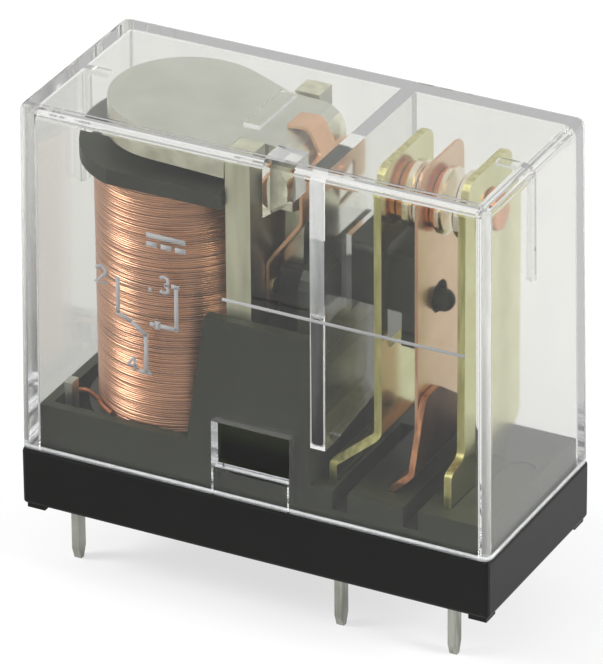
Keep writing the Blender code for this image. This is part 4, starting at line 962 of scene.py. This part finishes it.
@dataclass(frozen=True)
class PrintedMarks:
    """Plain print on the cover's front: a current symbol, a changeover diagram with numbers, a long line."""

    lift: float = 0.000003
    thickness: float = 0.000015
    line: float = 0.00025
    fine: float = 0.8
    bold: float = 1.2

    def strokes(self) -> list[tuple[np.ndarray, float]]:
        """Lists each stroke as points along X and Z in millimetres and a width as a share of the line's.

        Returns:
            The strokes.
        """
        found = [
            (((-6.3, 22.96), (-3.9, 22.96)), self.bold),
            (((-6.3, 22.42), (-5.65, 22.42)), self.bold),
            (((-5.42, 22.42), (-4.78, 22.42)), self.bold),
            (((-4.55, 22.42), (-3.9, 22.42)), self.bold),
            (((-8.1, 19.95), (-8.1, 17.75)), 1.0),
            (((-8.2, 17.82), (-7.3, 17.42)), 1.0),
            (((-7.35, 17.48), (-6.35, 16.75)), 1.0),
            (((-6.4, 16.85), (-6.4, 14.5)), 1.0),
            (((-6.85, 14.5), (-6.1, 14.5)), 1.0),
            (((-4.5, 20.15), (-4.5, 17.5)), 1.0),
            (((-4.8, 20.15), (-4.3, 20.15)), 1.0),
            (((-4.42, 17.55), (-5.6, 17.55)), 1.0),
            (((-5.5, 17.55), (-5.85, 17.55)), 2.0),
            (((-5.8, 17.55), (-6.15, 17.55)), 1.1),
            (((-6.2, 19.66), (-6.0, 19.66)), 1.0),
            (((-7.1, 15.3), (-7.55, 14.72), (-6.95, 14.72)), self.fine),
            (((-7.12, 15.3), (-7.12, 14.4)), self.fine),
            (((-1.7, 20.11), (12.87, 20.11)), self.fine),
            (self.arc((-5.25, 20.36), (0.27, 0.24), (150, -80)), self.fine),
            (self.arc((-5.25, 19.88), (0.27, 0.24), (80, -150)), self.fine),
            ((*self.arc((-9.15, 20.1), (0.3, 0.3), (160, -35)), (-9.48, 19.4), (-8.8, 19.4)), self.fine),
        ]
        return [(np.array(path), width) for path, width in found]

    @staticmethod
    def arc(
        centre: tuple[float, float], radii: tuple[float, float], degrees: tuple[float, float], steps: int = 9
    ) -> np.ndarray:
        """Gives points on an arc.

        A point is the centre plus each radius times the cosine or sine of an even run of angles.

        Args:
            centre: its centre along X and Z, in millimetres.
            radii: its radii along X and Z, in millimetres.
            degrees: its first and last angle.
            steps: how many points it has.

        Returns:
            The points, count by two.
        """
        angles = np.radians(np.linspace(*degrees, steps))
        return np.array(centre) + np.array(radii) * np.stack([np.cos(angles), np.sin(angles)], axis=-1)

    def ribbon(self, path: np.ndarray, width: float) -> np.ndarray:
        """Carries a flat rectangle along a path on the cover's leaning front.

        The two sides are the path plus and minus half the width along its normal, and the depth y at height z
        is the half width at the foot less the draft times the share of the height.

        Args:
            path: points along X and Z, in millimetres.
            width: the stroke's width as a share of the line's.

        Returns:
            The sections along the path.
        """
        run = np.gradient(path, axis=0)
        run /= np.linalg.norm(run, axis=1)[:, None]
        aside = np.stack([-run[:, 1], run[:, 0]], axis=-1) * width * self.line / 2
        middle = path / TO_MILLIMETRES
        sides = np.stack([middle - aside, middle + aside], axis=1)
        share = (sides[..., 1] - COVER.foot) / (COVER.top - COVER.foot)
        depth = COVER.draft * share - COVER.half_width - self.lift
        back = np.stack([sides[..., 0], depth, sides[..., 1]], axis=-1)
        front = back - np.array([0.0, self.thickness, 0.0])
        return np.stack([back[:, 0], back[:, 1], front[:, 1], front[:, 0]], axis=1)

    def build(self) -> None:
        """Prints every stroke as one thin piece."""
        settle(tubes_piece("case_print", [self.ribbon(*stroke) for stroke in self.strokes()]), PRINT)


@dataclass(frozen=True)
class ClearCover:
    """The clear cover: the frame's own cover with its moulded corners rounded and smooth."""

    rim_round: float = 0.0002
    rim_steps: int = 3
    level_slack: float = 0.000001
    rim_turn_radians: float = 0.5
    upright_share: float = 0.9
    flat_degrees: float = 0.3
    smooth_degrees: float = 35.0
    corner_x: float = 0.013
    corner_y: float = 0.005
    web_left: float = 0.0034
    web_right: float = 0.0043
    web_half_width: float = 0.0037
    web_foot: float = 0.01205
    web_slant: float = 0.001
    web_top: float = 0.0246
    gap_half_width: float = 0.00225
    gap_foot: float = 0.01915
    gap_top: float = 0.0237

    def partition_web(self) -> bpy.types.Object:
        """Makes the thin web between the partition's legs, with a window for the card's tongue.

        It is a ring between two rectangles seen along X. The outer one's foot rises by the slant from front
        to back.

        Returns:
            The web, to be joined with the cover.
        """
        outer = rectangle(-self.web_half_width, self.web_half_width, self.web_foot, self.web_top)
        outer[1, 1] += self.web_slant
        window = rectangle(-self.gap_half_width, self.gap_half_width, self.gap_foot, self.gap_top)
        return ring_piece("partition_web", outer, window, "YZX", (self.web_left, self.web_right))

    def joined(self, mesh: bpy.types.Mesh) -> bpy.types.Mesh:
        """Joins the web with the merged cover.

        Args:
            mesh: the cover's merged mesh.

        Returns:
            The mesh of both as one closed body.
        """
        web = self.partition_web()
        shell = in_scene("cover_shell", mesh)
        join = shell.modifiers.new("web", "BOOLEAN")
        join.operation = "UNION"
        join.solver = "EXACT"
        join.object = web
        graph = bpy.context.evaluated_depsgraph_get()
        whole = bpy.data.meshes.new_from_object(shell.evaluated_get(graph))
        bpy.data.objects.remove(shell)
        bpy.data.objects.remove(web)
        return whole

    def grade_edges(self, work: bmesh.types.BMesh) -> None:
        """Marks the top rim for rounding and lets only the upright outer corners shade smoothly.

        Args:
            work: the cover, changed in place.
        """
        rim = max(vertex.co.z for vertex in work.verts) - self.level_slack
        weight = work.edges.layers.float.new("bevel_weight_edge")
        for edge in work.edges:
            start, end = (vertex.co for vertex in edge.verts)
            turn = edge.calc_face_angle(0.0)
            edge[weight] = float(min(start.z, end.z) > rim and turn > self.rim_turn_radians)
            upright = abs(end.z - start.z) > self.upright_share * (end - start).length
            middle = (start + end) / 2
            corner = abs(middle.x) > self.corner_x and abs(middle.y) > self.corner_y
            edge.smooth = upright and corner and turn < math.radians(self.smooth_degrees)
        for face in work.faces:
            face.smooth = True

    def build(self, source: bpy.types.Object) -> None:
        """Copies the cover, merges its triangles, joins the web, rounds the top rim and smooths the corners.

        Args:
            source: the frame's cover.
        """
        mesh = source.data.copy()
        work = bmesh.new()
        work.from_mesh(mesh)
        bmesh.ops.remove_doubles(work, verts=work.verts, dist=MERGE_DISTANCE)
        work.to_mesh(mesh)
        work.free()
        mesh = self.joined(mesh)
        work = bmesh.new()
        work.from_mesh(mesh)
        bmesh.ops.remove_doubles(work, verts=work.verts, dist=MERGE_DISTANCE)
        flat = math.radians(self.flat_degrees)
        bmesh.ops.dissolve_limit(work, angle_limit=flat, verts=work.verts, edges=work.edges)
        self.grade_edges(work)
        work.to_mesh(mesh)
        work.free()
        mesh.name = "cover_clear"
        piece = in_scene("cover_clear", mesh)
        rounding = piece.modifiers.new("rim", "BEVEL")
        rounding.limit_method = "WEIGHT"
        rounding.width = self.rim_round
        rounding.segments = self.rim_steps
        rounding.use_clamp_overlap = False
        piece.modifiers.new("even", "WEIGHTED_NORMAL").keep_sharp = True
        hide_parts("case")
        settle(piece, CLEAR)


@dataclass(frozen=True)
class PartitionStrip:
    """Painted light on the partition's edge in the front wall: a painted glow above the long line, and below
    it painted shade with a rim of painted highlight.
    """

    left: float = 0.00342
    right: float = 0.00428
    front: float = -0.00552
    back: float = -0.00546
    foot: float = 0.0122
    line_z: float = 0.0201
    top: float = 0.0283
    rim: float = 0.00007
    proud: float = 0.00002
    corner: float = 0.0003
    steps: int = 6

    def bar(self, name: str, inset: float, low: float, high: float) -> bpy.types.Object:
        """Makes an upright bar in the strip's plane.

        Args:
            name: the piece's name.
            inset: how far its sides lie within the strip's.
            low: its foot.
            high: its top.

        Returns:
            The object.
        """
        section = rectangle(self.left + inset, self.right - inset, self.front, self.back)
        run = [np.column_stack([section, np.full(4, level)]) for level in (low, high)]
        return tubes_piece(name, [np.stack(run)])

    def outline(self) -> bpy.types.Object:
        """Carries a small rectangle round the strip's lower part, along a rounded rectangle seen along Y.

        Returns:
            The outline's piece.
        """
        middle = np.array([(self.left + self.right) / 2, (self.foot + self.line_z) / 2])
        half_size = ((self.right - self.left) / 2, (self.line_z - self.foot) / 2)
        outer, inner = (
            middle + rounded_path(half_size, self.corner, inset, self.steps) for inset in (0.0, self.rim)
        )
        return ring_piece("cover_rib_outline", outer, inner, "XZY", (self.front - self.proud, self.back))

    def build(self) -> None:
        """Makes the upper bar of painted glow, the lower bar of painted shade and the outline of painted
        highlight about it.
        """
        settle(self.bar("cover_frosted_rib", 0.0, self.line_z, self.top), PARTITION_GLOW)
        settle(self.bar("cover_smoky_rib", self.rim, self.foot + self.rim, self.line_z), PARTITION_SHADE)
        settle(self.outline(), PARTITION_HIGHLIGHT)


@dataclass(frozen=True)
class CornerGlow:
    """Painted highlight on the cover's four upright corners, as thin curved pale sheets inside its wall."""

    inset: float = 0.00012
    thickness: float = 0.00005
    foot: float = 0.0083
    top: float = 0.02882
    steps: int = 8

    def sheet(self, way_x: int, way_y: int) -> np.ndarray:
        """Bends one sheet about an upright corner that leans inwards by the draft.

        A point is the corner's centre plus a radius times the cosine and sine of an angle that runs
        through a quarter turn; the radius is the corner's less the inset, and less the thickness inside.

        Args:
            way_x: 1 or -1, the corner's side along X.
            way_y: 1 or -1, the corner's side along Y.

        Returns:
            The sections along the bend.
        """
        angle = np.linspace(0.0, np.pi / 2, self.steps)
        way = np.stack([np.cos(angle), np.sin(angle)], axis=-1)
        outer = COVER.corner - self.inset
        inner = outer - self.thickness
        centre = np.array([COVER.half_length, COVER.half_width]) - COVER.corner
        corners = []
        for radius, level, lean in (
            (outer, self.foot, 0.0), (outer, self.top, COVER.draft),
            (inner, self.top, COVER.draft), (inner, self.foot, 0.0),
        ):
            spots = (centre - lean + radius * way) * (way_x, way_y)
            corners.append(np.column_stack([spots, np.full(self.steps, level)]))
        return np.stack(corners, axis=1)

    def build(self) -> None:
        """Makes the four sheets as one piece."""
        ways = ((-1, -1), (1, -1), (1, 1), (-1, 1))
        settle(tubes_piece("cover_corner_painted_glow", [self.sheet(*way) for way in ways]), CORNER_GLOW)


@dataclass(frozen=True)
class RimLine:
    """A painted highlight: the pale line along the cover's foot, where its lowest edge catches the light."""

    half_length: float = 0.01434
    half_width: float = 0.00629
    corner: float = 0.0004
    low: float = 0.00794
    height: float = 0.00012
    depth: float = 0.0003
    steps: int = 8

    def build(self) -> None:
        """Carries a rectangle round the cover's foot, between a path and the path drawn inwards."""
        half_size = (self.half_length, self.half_width)
        outer, inner = (
            rounded_path(half_size, self.corner, inset, self.steps) for inset in (0.0, self.depth)
        )
        ends = (self.low, self.low + self.height)
        settle(ring_piece("cover_rim_line", outer, inner, "XYZ", ends), RIM_HIGHLIGHT)


@dataclass(frozen=True)
class Lamp:
    """A square soft lamp: its name, place, side and power in watts."""

    name: str
    place: tuple[float, float, float]
    size: float
    power: float


@dataclass(frozen=True)
class Studio:
    """The pale floor, the soft light and the camera at the photograph's angle."""

    camera_at: tuple[float, float, float] = (0.154537, -0.297652, 0.197215)
    look_at: tuple[float, float, float] = (-0.000113, 0.0, 0.015463)
    roll_degrees: float = -0.494
    focal_px: float = 6959.9
    sensor: float = 36.0
    clip_end: float = 10.0
    floor_side: float = 3.0
    floor_tone: float = 0.9
    floor_glow: float = 0.65
    floor_seen: float = 1.02
    floor_in_front: float = 0.3
    floor_beside: float = 0.95
    floor_way: tuple[float, float, float] = (0.6, 0.8, 1.0)
    floor_reach_mm: tuple[float, float] = (-20.0, 25.0)
    sky: float = 0.72
    front_sky: float = 0.06
    front_reach: tuple[float, float] = (0.5, 0.92)
    bounces: int = 32
    lamp_aim: tuple[float, float, float] = (0.0, 0.0, 0.015)
    lamps: tuple[Lamp, ...] = (
        Lamp("key", (-0.42, -0.24, 0.34), 0.18, 2.9),
        Lamp("side", (0.52, 0.02, 0.26), 0.2, 2.6),
    )

    def build(self) -> None:
        """Makes the floor, world, lamps and camera."""
        self.add_floor()
        self.add_world()
        self.add_lamps()
        self.add_camera()

    def add_camera(self) -> None:
        """Sets the camera where the photograph's corners put it."""
        data = bpy.data.cameras.new("camera")
        data.sensor_width = self.sensor
        data.lens = self.focal_px * self.sensor / IMAGE_HEIGHT_PX
        data.clip_end = self.clip_end
        camera = in_scene("camera", data)
        place = Vector(self.camera_at)
        turn = (Vector(self.look_at) - place).to_track_quat("-Z", "Y").to_matrix().to_4x4()
        roll = Matrix.Rotation(math.radians(self.roll_degrees), 4, "Z")
        camera.matrix_world = Matrix.Translation(place) @ turn @ roll
        bpy.context.scene.camera = camera

    def add_floor(self) -> None:
        """Lays a pale floor at the height of the pins' tips.

        Part of it glows for rays from the camera, a mirror or the clear cover, so that it looks white. In
        mirrors the glow falls off towards the camera, which keeps dark faces dark.
        """
        mesh = bpy.data.meshes.new("floor")
        corners = rectangle(*(self.floor_side / 2 * side for side in (-1, 1, -1, 1)))
        mesh.from_pydata([(x, y, 0.0) for x, y in corners], [], [(0, 1, 2, 3)])
        floor = in_scene("floor", mesh)
        sheet = NodeSheet(bpy.data.materials.new("pale_floor"))
        lit = sheet.add("ShaderNodeBsdfDiffuse", {"Color": (*[self.floor_tone] * 3, 1.0)})
        where = sheet.place(self.floor_way)
        across = sheet.maths("ADD", sheet.part(where, "X"), sheet.part(where, "Y"))
        pool = sheet.remap(across, *self.floor_reach_mm, self.floor_in_front, self.floor_beside)
        path = sheet.light_path()
        glow = sheet.remap(path["Is Glossy Ray"], 0.0, 1.0, self.floor_seen, pool)
        white = sheet.add("ShaderNodeEmission", {"Color": WHITE, "Strength": glow})
        seen = sheet.maths("MAXIMUM", path["Is Camera Ray"], path["Is Glossy Ray"])
        seen = sheet.maths("MAXIMUM", seen, path["Is Transmission Ray"])
        share = sheet.maths("MULTIPLY", seen, self.floor_glow)
        floor.data.materials.append(sheet.finish(sheet.blend(share, lit, white)))

    def add_world(self) -> None:
        """Makes a pale world, white where it is seen and darker behind the camera, and sets the bounces."""
        sheet = NodeSheet(bpy.data.worlds.new("studio"))
        way = sheet.add("ShaderNodeTexCoord").outputs["Generated"]
        towards = Vector(self.camera_at) - Vector(self.look_at)
        towards.z = 0.0
        turned = sheet.add("ShaderNodeVectorMath", {0: way, 1: towards.normalized()}, operation="DOT_PRODUCT")
        across = turned.outputs["Value"]
        strength = sheet.remap(across, *self.front_reach, self.sky, self.front_sky, "SMOOTHSTEP")
        light = sheet.add("ShaderNodeBackground", {"Color": WHITE, "Strength": strength})
        white = sheet.add("ShaderNodeBackground", {"Color": WHITE})
        path = sheet.light_path()
        seen = sheet.maths("MAXIMUM", path["Is Camera Ray"], path["Is Transmission Ray"])
        scene = bpy.context.scene
        scene.world = sheet.finish(sheet.blend(seen, light, white))
        scene.view_settings.view_transform = "Standard"
        scene.cycles.max_bounces = self.bounces
        scene.cycles.glossy_bounces = self.bounces
        scene.cycles.transmission_bounces = self.bounces

    def add_lamps(self) -> None:
        """Hangs a soft lamp to the left and one to the right of the camera."""
        for lamp in self.lamps:
            data = bpy.data.lights.new(lamp.name, "AREA")
            data.energy = lamp.power
            data.size = lamp.size
            hung = in_scene(lamp.name, data)
            hung.location = lamp.place
            aim = Vector(self.lamp_aim) - Vector(lamp.place)
            hung.rotation_euler = aim.to_track_quat("-Z", "Y").to_euler()


def main() -> None:
    """Loads the frame, dresses it, adds the scene's own pieces and lights it."""
    logging.basicConfig(level=logging.INFO, format="%(name)s: %(message)s")
    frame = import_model()
    nodes = frame["nodes"]
    dress_nodes(nodes)
    ContactSet().dress(nodes)
    ClearCover().build(nodes["case"])
    CoilTurns().build()
    PrintedMarks().build()
    PartitionStrip().build()
    CornerGlow().build()
    RimLine().build()
    Studio().build()


if __name__ == "__main__":
    main()
